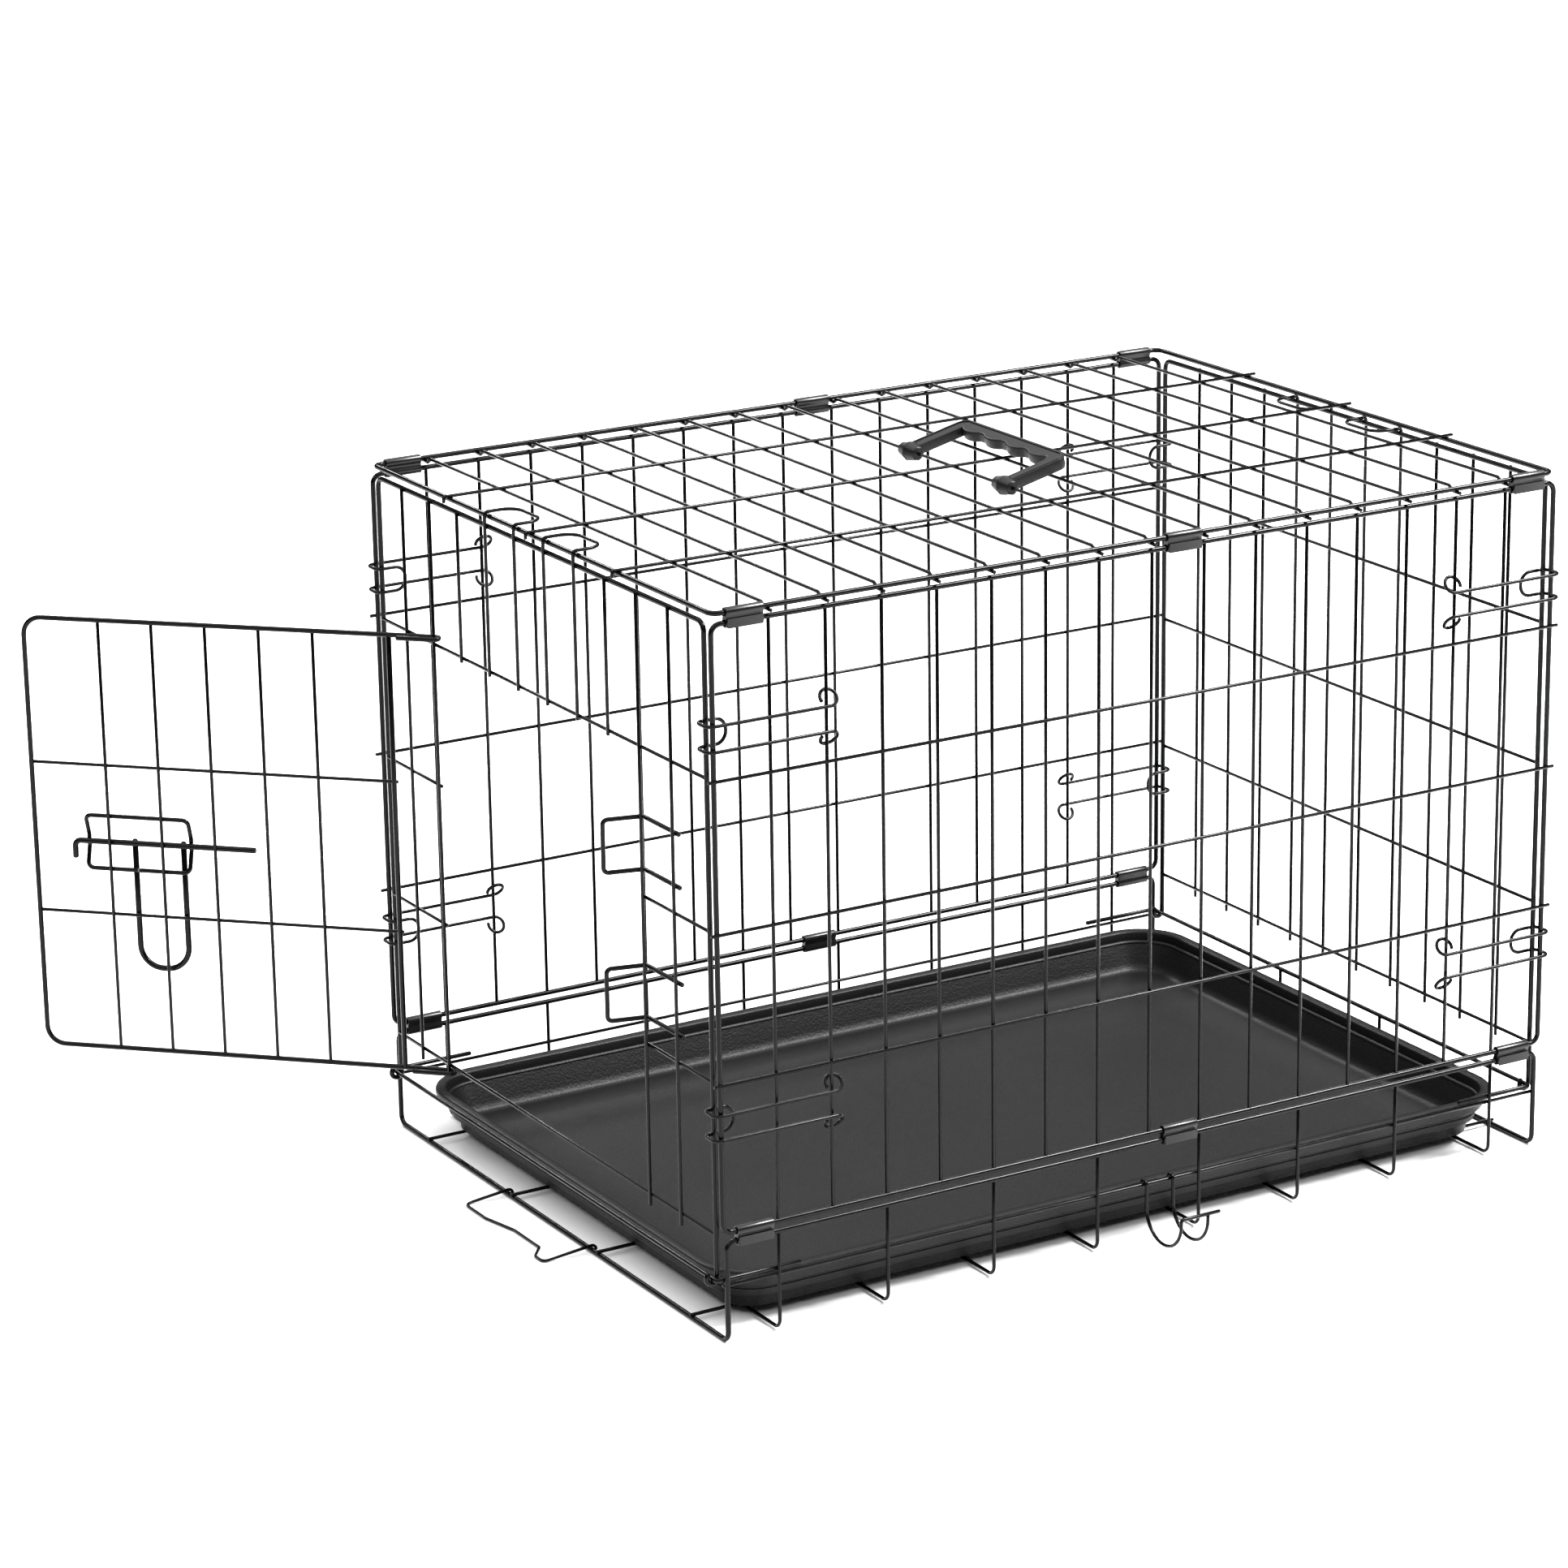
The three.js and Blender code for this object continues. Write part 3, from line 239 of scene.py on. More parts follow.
for side in (-1, 1):
    y, z = side * SIDE_RAIL[0], SIDE_RAIL[1]
    base_wires.append((bend([(-BASE_X - 2.3, y, z), (BASE_X + 2.3, y, z)], 0), MESH_D))
for x in (DOOR_RAIL_X, FAR_RAIL_X):
    inboard = x - 58 if x > 0 else x + 58
    end_rail = [(inboard, -END_RAIL_Y), (x, -END_RAIL_Y), (x, END_RAIL_Y), (inboard, END_RAIL_Y)]
    base_wires.append((bend([(*corner, END_RAIL_Z) for corner in end_rail], RAIL_D), RAIL_D))

base = weld("base_basket", base_wires, coated_wire)
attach(base, "crate")
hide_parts("base_frame")

# ---------------------------------------------------------------- side panels
# The two long sides: a heavy wire frame with fifteen thin uprights inside it and three rows welded
# across them outside, whose ends stand a little past the frame. Same wire and paint as the base.

SIDE_BOTTOM = 71.5
SIDE_TOP = 445
ROW_PITCH = (SIDE_TOP - SIDE_BOTTOM) / 4
OVERSHOOT = 5
MESH_ON_MESH = 1.8  # between the middles of two welded thin wires

for face, side in (("front", -1), ("back", 1)):
    y = side * SIDE_Y
    outline = [
        (-POST_X, y, SIDE_BOTTOM),
        (POST_X, y, SIDE_BOTTOM),
        (POST_X, y, SIDE_TOP),
        (-POST_X, y, SIDE_TOP),
    ]
    side_wires = [(bend(outline, FRAME_BEND, closed=True), FRAME_D, True)]
    for k in range(1, 16):
        x = -POST_X + k * SIDE_PITCH
        side_wires.append((bend([(x, y, SIDE_BOTTOM), (x, y, SIDE_TOP)], 0), MESH_D))
    row_y = side * (SIDE_Y + MESH_ON_MESH)
    for j in range(1, 4):
        z = SIDE_BOTTOM + j * ROW_PITCH
        row = [(-POST_X - OVERSHOOT, row_y, z), (POST_X + OVERSHOOT, row_y, z)]
        side_wires.append((bend(row, 0), MESH_D))
    panel = weld(f"side_grille_{face}", side_wires, coated_wire)
    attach(panel, "crate")
    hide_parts(f"side_panel_{face}")

# ---------------------------------------------------------------- top panel
# The roof: a heavy wire frame, fifteen cross wires that dip under it and stand out a little at
# each side, and three long wires over them, turned down past the door end.

TOP_Z = 451.3
TOP_END_X = 304.1
TOP_CROSS_Z = 451.85
TOP_LONG_Z = 453.65

top_outline = [(-TOP_END_X, -SIDE_Y), (TOP_END_X, -SIDE_Y), (TOP_END_X, SIDE_Y), (-TOP_END_X, SIDE_Y)]
top_wires = [(bend([(*corner, TOP_Z) for corner in top_outline], FRAME_BEND, closed=True), FRAME_D, True)]
for k in range(1, 16):
    x = -POST_X + k * SIDE_PITCH
    under, inner = TOP_Z - 2.35, SIDE_Y - FRAME_D
    near = [(x, -SIDE_Y - 4, under), (x, -inner, under), (x, -inner + 4.6, TOP_CROSS_Z)]
    far = [(x, -y, z) for x, y, z in reversed(near)]
    top_wires.append((bend([*near, *far], 2, steps=3), MESH_D))
for y in (-109, 0, 109):
    out = TOP_END_X + OVERSHOOT
    long_wire = [(-out, y, TOP_LONG_Z - 4), (-out, y, TOP_LONG_Z), (out, y, TOP_LONG_Z)]
    top_wires.append((bend(long_wire, 1.5), MESH_D))

roof = weld("top_grille", top_wires, coated_wire)
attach(roof, "crate")
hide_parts("top_panel")

# ---------------------------------------------------------------- end panels
# Each end is an upside-down U of heavy wire whose feet curl round the base's end rail, with thin
# uprights outside it. Two pairs of uprights are one wire each, looped over the edge of the roof.

END_POST_Y = 210
END_PITCH = 2 * END_POST_Y / 11
END_WIRE_X = 307.35
END_ROW_X = END_WIRE_X - MESH_ON_MESH
END_SILL_Z = 68.5
END_WIRE_BOTTOM = 61.5
EYELET_R = 3.6
LOOP_TIP_X = TOP_END_X - 18
LOOP_CLEARANCE = 3.25
HOOKED = (4, 6)
HEADER_Z = SIDE_BOTTOM + 3 * ROW_PITCH


def end_wire_y(k):
    """Middle of an upright of the end panels, counted from the back."""
    return END_POST_Y - k * END_PITCH


def end_frame(end, rail_x):
    """The heavy U of an end panel, with the curls at its feet round the rail."""
    x = end * POST_X
    towards_post = 1 if x > rail_x else -1
    feet = []
    for side in (-1, 1):
        centre = (rail_x, side * END_POST_Y, END_RAIL_Z)
        feet.append(curl(centre, EYELET_R, (towards_post, 0, 0), (0, 0, -1), 0, 240, 16))
    shoulders = [
        (x, -END_POST_Y, 100),
        (x, -END_POST_Y, SIDE_TOP),
        (x, END_POST_Y, SIDE_TOP),
        (x, END_POST_Y, 100),
    ]
    return ([*reversed(feet[0]), *bend(shoulders, FRAME_BEND), *feet[1]], FRAME_D)


def end_upright(end, k, bottom):
    x, y = end * END_WIRE_X, end_wire_y(k)
    return (bend([(x, y, bottom), (x, y, SIDE_TOP + 1.2)], 0), MESH_D)


def end_loop(end, k, bottom, z):
    """Two uprights that are one wire, with a round loop over or under the roof's edge."""
    x, tip = end * END_WIRE_X, end * LOOP_TIP_X
    near, far = end_wire_y(k), end_wire_y(k + 1)
    shoulder = bend([(x, near, bottom), (x, near, z), (tip, near, z)], MESH_D, steps=5)
    round_end = bend([(x, near, z), (tip, near, z), (tip, far, z), (x, far, z)], END_PITCH / 3, steps=8)
    last = bend([(tip, far, z), (x, far, z), (x, far, bottom)], MESH_D, steps=5)
    return ([*shoulder[:-1], *round_end[1:-1], *last[1:]], MESH_D)


def end_row(end, z, start, stop):
    x = end * END_ROW_X
    return (bend([(x, start, z), (x, stop, z)], 0), MESH_D)


door_end = [end_frame(-1, DOOR_RAIL_X)]
far_end = [end_frame(1, FAR_RAIL_X)]
for k in (1, 2, 3, 8, 9, 10):
    door_end.append(end_upright(-1, k, END_WIRE_BOTTOM if k in (1, 2, 9, 10) else HEADER_Z - 2.3))
    far_end.append(end_upright(1, k, END_WIRE_BOTTOM))
for k in HOOKED:
    door_end.append(end_loop(-1, k, HEADER_Z - 2.3, TOP_Z + LOOP_CLEARANCE))
    far_end.append(end_loop(1, k, END_WIRE_BOTTOM, TOP_Z - LOOP_CLEARANCE))
for z in (END_SILL_Z, HEADER_Z):
    door_end.append(end_row(-1, z, -END_POST_Y, END_POST_Y))
for z in (SIDE_BOTTOM + ROW_PITCH, SIDE_BOTTOM + 2 * ROW_PITCH):
    door_end.append(end_row(-1, z, -END_POST_Y, end_wire_y(9) + 2.3))
    door_end.append(end_row(-1, z, end_wire_y(2) - 1.2, END_POST_Y))
for z in (END_SILL_Z, *[SIDE_BOTTOM + j * ROW_PITCH for j in (1, 2, 3)]):
    far_end.append(end_row(1, z, -END_POST_Y, END_POST_Y))

for name, wires, body, node in (
    ("door_end_grille", door_end, "crate", "end_panel_door"),
    ("far_end_grille", far_end, "far_end", "end_panel_far"),
):
    grille = weld(name, wires, coated_wire)
    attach(grille, body)
    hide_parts(node)

# ---------------------------------------------------------------- corner hooks
# Spring wire hooks that lock the sides to the ends. Two strands end in rings on a side panel's
# upright, and their closed end snaps round both corner posts, where a hand can pull it off.

HOOK_SPREAD = 15.5
RING_R = 5.5
HOOK_SHANK_Y = SIDE_Y + LOOP_CLEARANCE
HOOK_TONGUE_Y = END_POST_Y - LOOP_CLEARANCE
HOOK_HEIGHTS = {"lower": SIDE_BOTTOM + ROW_PITCH - 26, "upper": HEADER_Z + 26}


def corner_hook(end, side, height):
    shank, tongue = side * HOOK_SHANK_Y, side * HOOK_TONGUE_Y
    ring_x = end * (POST_X - 2 * SIDE_PITCH - 1.5)
    out_x, tongue_x = end * (POST_X + 5), end * (POST_X - 15)
    strands = []
    for sign in (1, -1):
        z = height + sign * HOOK_SPREAD / 2
        lean = Vector((0, -side * sin(radians(37)), sign * cos(radians(37))))
        ring = curl(Vector((ring_x, shank, z)) + lean * RING_R, RING_R, (-end, 0, 0), lean, 205, -90, 24)
        wrap = bend([(ring_x, shank, z), (out_x, shank, z), (out_x, tongue, z), (tongue_x, tongue, z)], 5)
        strands.append([*ring, *wrap[1:-1]])
    tips = [(tongue_x, tongue, height + sign * HOOK_SPREAD / 2) for sign in (1, -1)]
    closed_end = bend([strands[0][-1], *tips, strands[1][-1]], HOOK_SPREAD / 2, steps=10)
    return [*strands[0], *closed_end[1:-1], *reversed(strands[1])]


for place_name, end in (("door", -1), ("far", 1)):
    for face, side in (("front", -1), ("back", 1)):
        for level, height in HOOK_HEIGHTS.items():
            label = f"{place_name}_{face}_{level}"
            hook = weld(f"spring_hook_{label}", [(corner_hook(end, side, height), MESH_D)], coated_wire)
            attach(hook, "crate")
            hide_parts(f"corner_hook_{label}")

# ---------------------------------------------------------------- bolt keepers
# Two wire staples on the jamb of the doorway. Each comes out beside the opening as an upright loop
# that the bolt passes through.

KEEPER_HEIGHTS = {"lower": SIDE_BOTTOM + ROW_PITCH + 33, "upper": SIDE_BOTTOM + 2 * ROW_PITCH + 33}

for level, height in KEEPER_HEIGHTS.items():
    behind = -END_WIRE_X + (MESH_D + RAIL_D) / 2 + 0.4
    pass_y = end_wire_y(9) + (MESH_D + RAIL_D) / 2 + 0.4
    out_x = -END_WIRE_X - 21
    prongs = [[(behind, end_wire_y(10) - 3), (behind, pass_y), (out_x, pass_y + 6)] for _ in range(2)]
    corners = [(*corner, height + 16.5) for corner in prongs[0]]
    corners += [(*corner, height - 16.5) for corner in reversed(prongs[1])]
    keeper = weld(f"keeper_loop_{level}", [(bend(corners, RAIL_D), RAIL_D)], coated_wire)
    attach(keeper, "crate")
    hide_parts(f"bolt_keeper_{level}")

# ---------------------------------------------------------------- door
# A heavy wire frame whose two ends turn round the hinge upright and double back, with one heavy and
# five thin uprights and two rows. It stands open, past square to the end panel.

DOOR_OPEN = 134  # degrees
DOOR_WIDTH = 7 * END_PITCH + 10.7
DOOR_TOP = HEADER_Z + 4.7
DOOR_BOTTOM = END_SILL_Z - 4
DOOR_STILE = 31
DOOR_EDGE_BAY = 51
DOOR_WIRE_PITCH = (DOOR_WIDTH - DOOR_STILE - 2 * DOOR_EDGE_BAY) / 4
DOOR_PLANE = -LOOP_CLEARANCE
HINGE_LINE = Vector((-END_WIRE_X, end_wire_y(2), 0))
door_turn = Matrix.Rotation(radians(-90 - DOOR_OPEN), 3, "Z")


def hang(line):
    """A line drawn on the closed door, x from the hinge to the free edge, as the door stands."""
    return [HINGE_LINE + door_turn @ Vector(point) for point in line]


def door_wire_x(k):
    return DOOR_STILE + DOOR_EDGE_BAY + k * DOOR_WIRE_PITCH


top_turn = curl((0, 0, DOOR_TOP), LOOP_CLEARANCE, (0, 1, 0), (-1, 0, 0), 0, 180, 12)
bottom_turn = curl((0, 0, DOOR_BOTTOM), LOOP_CLEARANCE, (0, 1, 0), (-1, 0, 0), 180, 0, 12)
free_edge = [
    top_turn[-1],
    (DOOR_WIDTH, DOOR_PLANE, DOOR_TOP),
    (DOOR_WIDTH, DOOR_PLANE, DOOR_BOTTOM),
    bottom_turn[0],
]
door_loop = [(24, LOOP_CLEARANCE, DOOR_TOP), *top_turn, *bend(free_edge, 12, steps=8)[1:-1]]
door_loop += [*bottom_turn, (24, LOOP_CLEARANCE, DOOR_BOTTOM)]
door_wires = [(hang(door_loop), FRAME_D)]
for x, d in [(DOOR_STILE, FRAME_D), *[(door_wire_x(k), MESH_D) for k in range(5)]]:
    door_wires.append((hang([(x, DOOR_PLANE, DOOR_BOTTOM), (x, DOOR_PLANE, DOOR_TOP)]), d))
for z in (SIDE_BOTTOM + ROW_PITCH - 8, SIDE_BOTTOM + 2 * ROW_PITCH):
    row_y = DOOR_PLANE - MESH_ON_MESH
    door_wires.append((hang([(DOOR_STILE - 2.3, row_y, z), (DOOR_WIDTH + 2.3, row_y, z)]), MESH_D))

door = weld("door_grille", door_wires, coated_wire)
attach(door, "door")
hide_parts("door_panel")

# ---------------------------------------------------------------- bolt guide
# A wire rectangle welded to two of the door's uprights. Its short sides bow out over the bolt.

ROD_D = 4.0
FIT = 0.4  # between pieces that slide or rest on each other
BOLT_Z = KEEPER_HEIGHTS["lower"] + 7.5
BOLT_Y = DOOR_PLANE - (FRAME_D + ROD_D) / 2 - FIT
GUIDE_OVERHANG = 17  # past the uprights it lies on
GUIDE_HALF_HEIGHT = 18
BOW_HALF_HEIGHT = 4
GUIDE_NEAR = door_wire_x(3) - GUIDE_OVERHANG
GUIDE_FAR = door_wire_x(4) + GUIDE_OVERHANG
guide_back = DOOR_PLANE - (MESH_D + RAIL_D) / 2 - FIT
guide_bow = BOLT_Y - (ROD_D + RAIL_D) / 2 - FIT
middle = (GUIDE_NEAR + GUIDE_FAR) / 2


def guide_side(x):
    """One short side from the guide's top down over the bolt."""
    return [
        (x, guide_back, BOLT_Z + GUIDE_HALF_HEIGHT),
        (x, guide_bow, BOLT_Z + BOW_HALF_HEIGHT),
        (x, guide_bow, BOLT_Z - BOW_HALF_HEIGHT),
    ]


guide_line = [
    (middle - FIT, guide_back, BOLT_Z - GUIDE_HALF_HEIGHT),
    (GUIDE_NEAR, guide_back, BOLT_Z - GUIDE_HALF_HEIGHT),
    *reversed(guide_side(GUIDE_NEAR)),
    *guide_side(GUIDE_FAR),
    (GUIDE_FAR, guide_back, BOLT_Z - GUIDE_HALF_HEIGHT),
    (middle + FIT, guide_back, BOLT_Z - GUIDE_HALF_HEIGHT),
]
guide = weld("bolt_guide_loop", [(hang(bend(guide_line, 4, steps=5)), RAIL_D)], coated_wire)
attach(guide, "door")
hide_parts("bolt_guide")

# ---------------------------------------------------------------- slide bolt
# A straight rod held under the guide's bows, with its tip turned down, and a long U of the same rod
# welded to it as a grip, which hangs outside the guide's lower wire.

BOLT_TIP = DOOR_WIDTH - 25.5
BOLT_LENGTH = 124.5
TIP_DROP = 12
GRIP_NEAR = GUIDE_NEAR + 5
GRIP_FAR = GRIP_NEAR + 33.3
GRIP_DROP = 86
GRIP_BEND = 15.1
grip_y = DOOR_PLANE - (MESH_D + ROD_D) / 2 - RAIL_D - 0.8
rod_line = [
    (BOLT_TIP - BOLT_LENGTH, BOLT_Y, BOLT_Z),
    (BOLT_TIP, BOLT_Y, BOLT_Z),
    (BOLT_TIP, BOLT_Y, BOLT_Z - TIP_DROP),
]
grip_line = [
    (GRIP_NEAR, grip_y, BOLT_Z + 2),
    (GRIP_NEAR, grip_y, BOLT_Z - GRIP_DROP),
    (GRIP_FAR, grip_y, BOLT_Z - GRIP_DROP),
    (GRIP_FAR, grip_y, BOLT_Z + 2),
]
bolt_runs = [(hang(bend(rod_line, ROD_D)), ROD_D), (hang(bend(grip_line, GRIP_BEND, steps=10)), ROD_D)]
bolt = weld("slide_bolt_rod", bolt_runs, coated_wire)
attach(bolt, "bolt")
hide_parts("slide_bolt")

# ---------------------------------------------------------------- tray gate
# A thin wire stop across the tray's way out. It turns on the floor wire at the door end and lies
# lowered on the floor, with a dip in its bar for the thumb.

GATE_D = 2.0
hinge_r = (FRAME_D + GATE_D) / 2 + 0.4
gate_hinge_z = 1.472
bar_x, bar_z = -BASE_X - 34, 1.2
gate_bar = [
    (-BASE_X, -47, gate_hinge_z + hinge_r),
    (bar_x, -47, bar_z),
    (bar_x, -35.8, bar_z),
    (bar_x + 9, -24.6, bar_z),
    (bar_x + 9, 9, bar_z),
    (bar_x + 3, 37, bar_z),
    (bar_x + 3, 65, bar_z),
    (-BASE_X, 65, gate_hinge_z + hinge_r),
]
gate_line = [
    *curl((-BASE_X, -47, gate_hinge_z), hinge_r, (1, 0, 0), (0, 0, 1), 0, 90, 8),
    *bend(gate_bar, 4, steps=5)[1:-1],
    *curl((-BASE_X, 65, gate_hinge_z), hinge_r, (1, 0, 0), (0, 0, 1), 90, 0, 8),
]
gate = weld("tray_stop_wire", [(gate_line, GATE_D)], coated_wire)
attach(gate, "gate")
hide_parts("tray_gate")

# ---------------------------------------------------------------- fold lock hook
# Two J-shaped wires joined by a bar. They hang from the front side rail, and hold the crate shut
# when it is folded flat.

J_R = 19
curl_r = MESH_D + 0.4
leg_y = -SIDE_RAIL[0] - curl_r
j_z = FLOOR_CROSS_Z + MESH_D + J_R
tip_y = leg_y - 2 * J_R
fold_wires = []
for x in (-2, 18):
    leg = curl((x, -SIDE_RAIL[0], SIDE_RAIL[1]), curl_r, (0, -1, 0), (0, 0, 1), 220, 0, 12)
    leg += curl((x, leg_y - J_R, j_z), J_R, (0, 1, 0), (0, 0, 1), 0, -180, 18)
    if x < 0:
        bar = bend([(x, tip_y, j_z), (x, tip_y, 27), (27, tip_y, 27)], MESH_D)
        leg += bar[1:]
    else:
        leg.append((x, tip_y, 27))
    fold_wires.append(([Vector(point) for point in leg], MESH_D))
fold_hook = weld("fold_lock_wire", fold_wires, coated_wire)
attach(fold_hook, "fold_hook")
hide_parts("fold_lock_hook")

# ---------------------------------------------------------------- hinge clips
# Twelve pressed steel clips, each folded round two neighbouring frame wires so that the panels can
# turn. The sheet makes two barrels with a waist between them and a flat lap over the lower one.

CLIP_LENGTH = 25
HINGE_GAP = 6.3


def slab(outlines, thickness, ease):
    """A flat piece cut to closed outlines in the x, y plane, in mm, with its edges eased."""
    bpy.ops.object.select_all(action="DESELECT")
    bpy.ops.curve.primitive_nurbs_path_add()
    blank = bpy.context.object
    blank.data.splines.clear()
    blank.data.dimensions = "2D"
    blank.data.fill_mode = "BOTH"
    for outline in outlines:
        spline = blank.data.splines.new("POLY")
        spline.points.add(len(outline) - 1)
        for knot, (x, y) in zip(spline.points, outline):
            knot.co = (x, y, 0, 1)
        spline.use_cyclic_u = True
    blank.data.extrude = thickness / 2 - ease
    blank.data.bevel_depth = ease
    blank.data.bevel_resolution = 2
    blank.data.offset = -ease
    bpy.ops.object.convert(target="MESH")
    return blank


def seat(parts, name, finish, at, turn, angle=40):
    """These meshes in mm as one piece, turned and set down at a point of the crate."""
    bpy.ops.object.select_all(action="DESELECT")
    for part in parts:
        part.select_set(True)
    bpy.context.view_layer.objects.active = parts[0]
    if len(parts) > 1:
        bpy.ops.object.join()
    piece = bpy.context.object
    piece.name = piece.data.name = name
    piece.data.transform(Matrix.Translation(place(at)) @ turn @ Matrix.Scale(0.001, 4))
    bpy.ops.object.mode_set(mode="EDIT")
    bpy.ops.mesh.select_all(action="SELECT")
    bpy.ops.mesh.normals_make_consistent(inside=False)
    bpy.ops.object.mode_set(mode="OBJECT")
    bpy.ops.object.shade_smooth_by_angle(angle=radians(angle))
    piece.data.materials.clear()
    piece.data.materials.append(finish)
    return piece


def ring_points(centre, radius, start, end, steps):
    angles = [radians(start + (end - start) * i / steps) for i in range(steps + 1)]
    return [(centre[0] + radius * cos(a), centre[1] + radius * sin(a)) for a in angles]


# The same black coat on rolled sheet: flatter and a little duller than on the wire, with fine
# rolling lines along the clip.
clip_sheet = bpy.data.materials.new("electro_coated_sheet_steel")
clip_sheet.use_nodes = True
tree = clip_sheet.node_tree
tree.nodes.clear()
spot = add_node(tree, "ShaderNodeTexCoord")
along = add_node(tree, "ShaderNodeMapping", {"Scale": (0.05, 1.0, 1.0)}, {"Vector": (spot, "Object")})
rolling = add_node(
    tree,
    "ShaderNodeTexNoise",
    {"Scale": 1600.0, "Detail": 2.0},  # lines about 0.6 mm apart, stretched along the clip
    {"Vector": (along, "Vector")},
)
shade = add_node(tree, "ShaderNodeValToRGB", None, {"Fac": (rolling, "Fac")})
shade.color_ramp.elements[0].color = linear("#040405")
shade.color_ramp.elements[1].color = linear("#0a0a0b")
lines = add_node(tree, "ShaderNodeBump", {"Strength": 0.25, "Distance": 0.0001}, {"Height": (rolling, "Fac")})
coat = add_node(
    tree,
    "ShaderNodeBsdfPrincipled",
    {"Roughness": 0.28, "IOR": 1.35},
    {"Base Color": (shade, "Color"), "Normal": (lines, "Normal")},
)
add_node(tree, "ShaderNodeOutputMaterial", None, {"Surface": (coat, "BSDF")})

half_gap = HINGE_GAP / 2
barrels = [*ring_points((0, half_gap), 3.0, -38, 218, 18), (-2.0, 0)]
barrels += [*ring_points((0, -half_gap), 3.0, 142, 398, 18), (2.0, 0)]
bores = [ring_points((0, v), 2.15, 360, 20, 17) for v in (-half_gap, half_gap)]
lap_plate = [(2.3, -6.0), (3.2, -6.0), (3.2, -0.4), (2.3, -0.4)]
for level, z in (("bottom", SIDE_BOTTOM - half_gap), ("top", SIDE_TOP + half_gap)):
    for face, side in (("front", -1), ("back", 1)):
        # the outline's x is the crate's side, its y is up, and the sheet runs along the crate
        across = Matrix(((0, 0, 1, 0), (side, 0, 0, 0), (0, 1, 0, 0), (0, 0, 0, 1)))
        for where, x in (("door", -POST_X + 21.5), ("middle", 22.5), ("far", POST_X - 21.5)):
            label = f"{level}_{face}_{where}"
            parts = [slab([barrels, *bores], CLIP_LENGTH, 0.2), slab([lap_plate], CLIP_LENGTH - 1.2, 0.2)]
            clip = seat(parts, f"pressed_clip_{label}", clip_sheet, (x, side * SIDE_Y, z), across)
            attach(clip, "crate")
            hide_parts(f"hinge_clip_{label}")

# ---------------------------------------------------------------- tray
# A vacuum-formed black plastic pan that slides out under the end panel: grained floor, walls that
# step outwards twice outside and slope inside, with beads along them, and a rolled rim.

TRAY_HALF_X = BASE_X - 6
TRAY_HALF_Y = SIDE_Y - 11
TRAY_Z = 6.1
TRAY_CORNER_R = 38


def pan_ring(inset, z):
    """A rounded rectangle at a height over the tray's underside, inset from its rim."""
    radius = max(TRAY_CORNER_R - inset, 4)
    points = []
    for sx, sy, start in ((1, 1, 0), (-1, 1, 90), (-1, -1, 180), (1, -1, 270)):
        centre = (sx * (TRAY_HALF_X - inset - radius), sy * (TRAY_HALF_Y - inset - radius))
        points += ring_points(centre, radius, start, start + 90, 14)
    return [place((x, y, TRAY_Z + z)) for x, y in points]


# inset from the rim and height over the underside, from the middle of the underside, up the outside,
# over the rim and down the inside to the floor
PAN_PROFILE = [
    (60, 0), (17.2, 0), (16.3, 0.3), (16, 1.2),
    (15.2, 7.6), (14.6, 8.5), (13.8, 8.8), (11.6, 8.9), (10.8, 9.2), (10.5, 10),
    (9.9, 13.0), (9.2, 13.3), (9.2, 14.0), (9.8, 14.3),
    (9.6, 16.6), (9.0, 17.4), (8.2, 17.7), (6.1, 17.8), (5.3, 18.1), (5.0, 18.9),
    (4.6, 25.2), (4.0, 26.0), (1.5, 26.1), (1.2, 25.2), (0.6, 24.8), (0.1, 25.4),
    (0, 27.6), (0.5, 28.7), (1.5, 29), (5.4, 29), (6.6, 28.6), (7.2, 27.6),
    (8.2, 22.6), (9.4, 22.0), (9.7, 21.2), (9.2, 20.6),
    (12.6, 14.2), (15.4, 8.4), (17.2, 4.8), (19.0, 3.2), (22.5, 2.4), (60, 2.4),
]
pan_points, pan_faces = [], []
for inset, z in PAN_PROFILE:
    pan_points += pan_ring(inset, z)
round_count = len(pan_points) // len(PAN_PROFILE)
for row in range(len(PAN_PROFILE) - 1):
    for i in range(round_count):
        a, b = row * round_count + i, row * round_count + (i + 1) % round_count
        pan_faces.append((a, a + round_count, b + round_count, b))
pan_faces.append(tuple(range(round_count)))
pan_faces.append(tuple(reversed(range(len(pan_points) - round_count, len(pan_points)))))
bpy.ops.mesh.primitive_cube_add(size=0.1)
pan = bpy.context.object
pan.name = "tray_pan"
pan_mesh = bpy.data.meshes.new("tray_pan")
pan_mesh.from_pydata(pan_points, [], pan_faces)
pan.data = pan_mesh
bpy.ops.object.mode_set(mode="EDIT")
bpy.ops.mesh.select_all(action="SELECT")
bpy.ops.mesh.normals_make_consistent(inside=False)
bpy.ops.object.mode_set(mode="OBJECT")
bpy.ops.object.shade_smooth_by_angle(angle=radians(50))

# Black ABS with an embossed leather grain: a net of soft round cells about 1.6 mm across over finer
# wrinkles, semi-matte, slightly greyer where the grain is worn.
tray_plastic = bpy.data.materials.new("grained_black_abs")
tray_plastic.use_nodes = True
tree = tray_plastic.node_tree
tree.nodes.clear()
spot = add_node(tree, "ShaderNodeTexCoord")
cells = add_node(
    tree,
    "ShaderNodeTexVoronoi",
    {"feature": "SMOOTH_F1", "Scale": 620.0, "Smoothness": 0.6},  # cells about 1.6 mm across
    {"Vector": (spot, "Object")},
)
wrinkles = add_node(
    tree,
    "ShaderNodeTexNoise",
    {"Scale": 1500.0, "Detail": 3.0},  # wrinkles about 0.7 mm
    {"Vector": (spot, "Object")},
)
grain = add_node(tree, "ShaderNodeMath", {"operation": "ADD"})
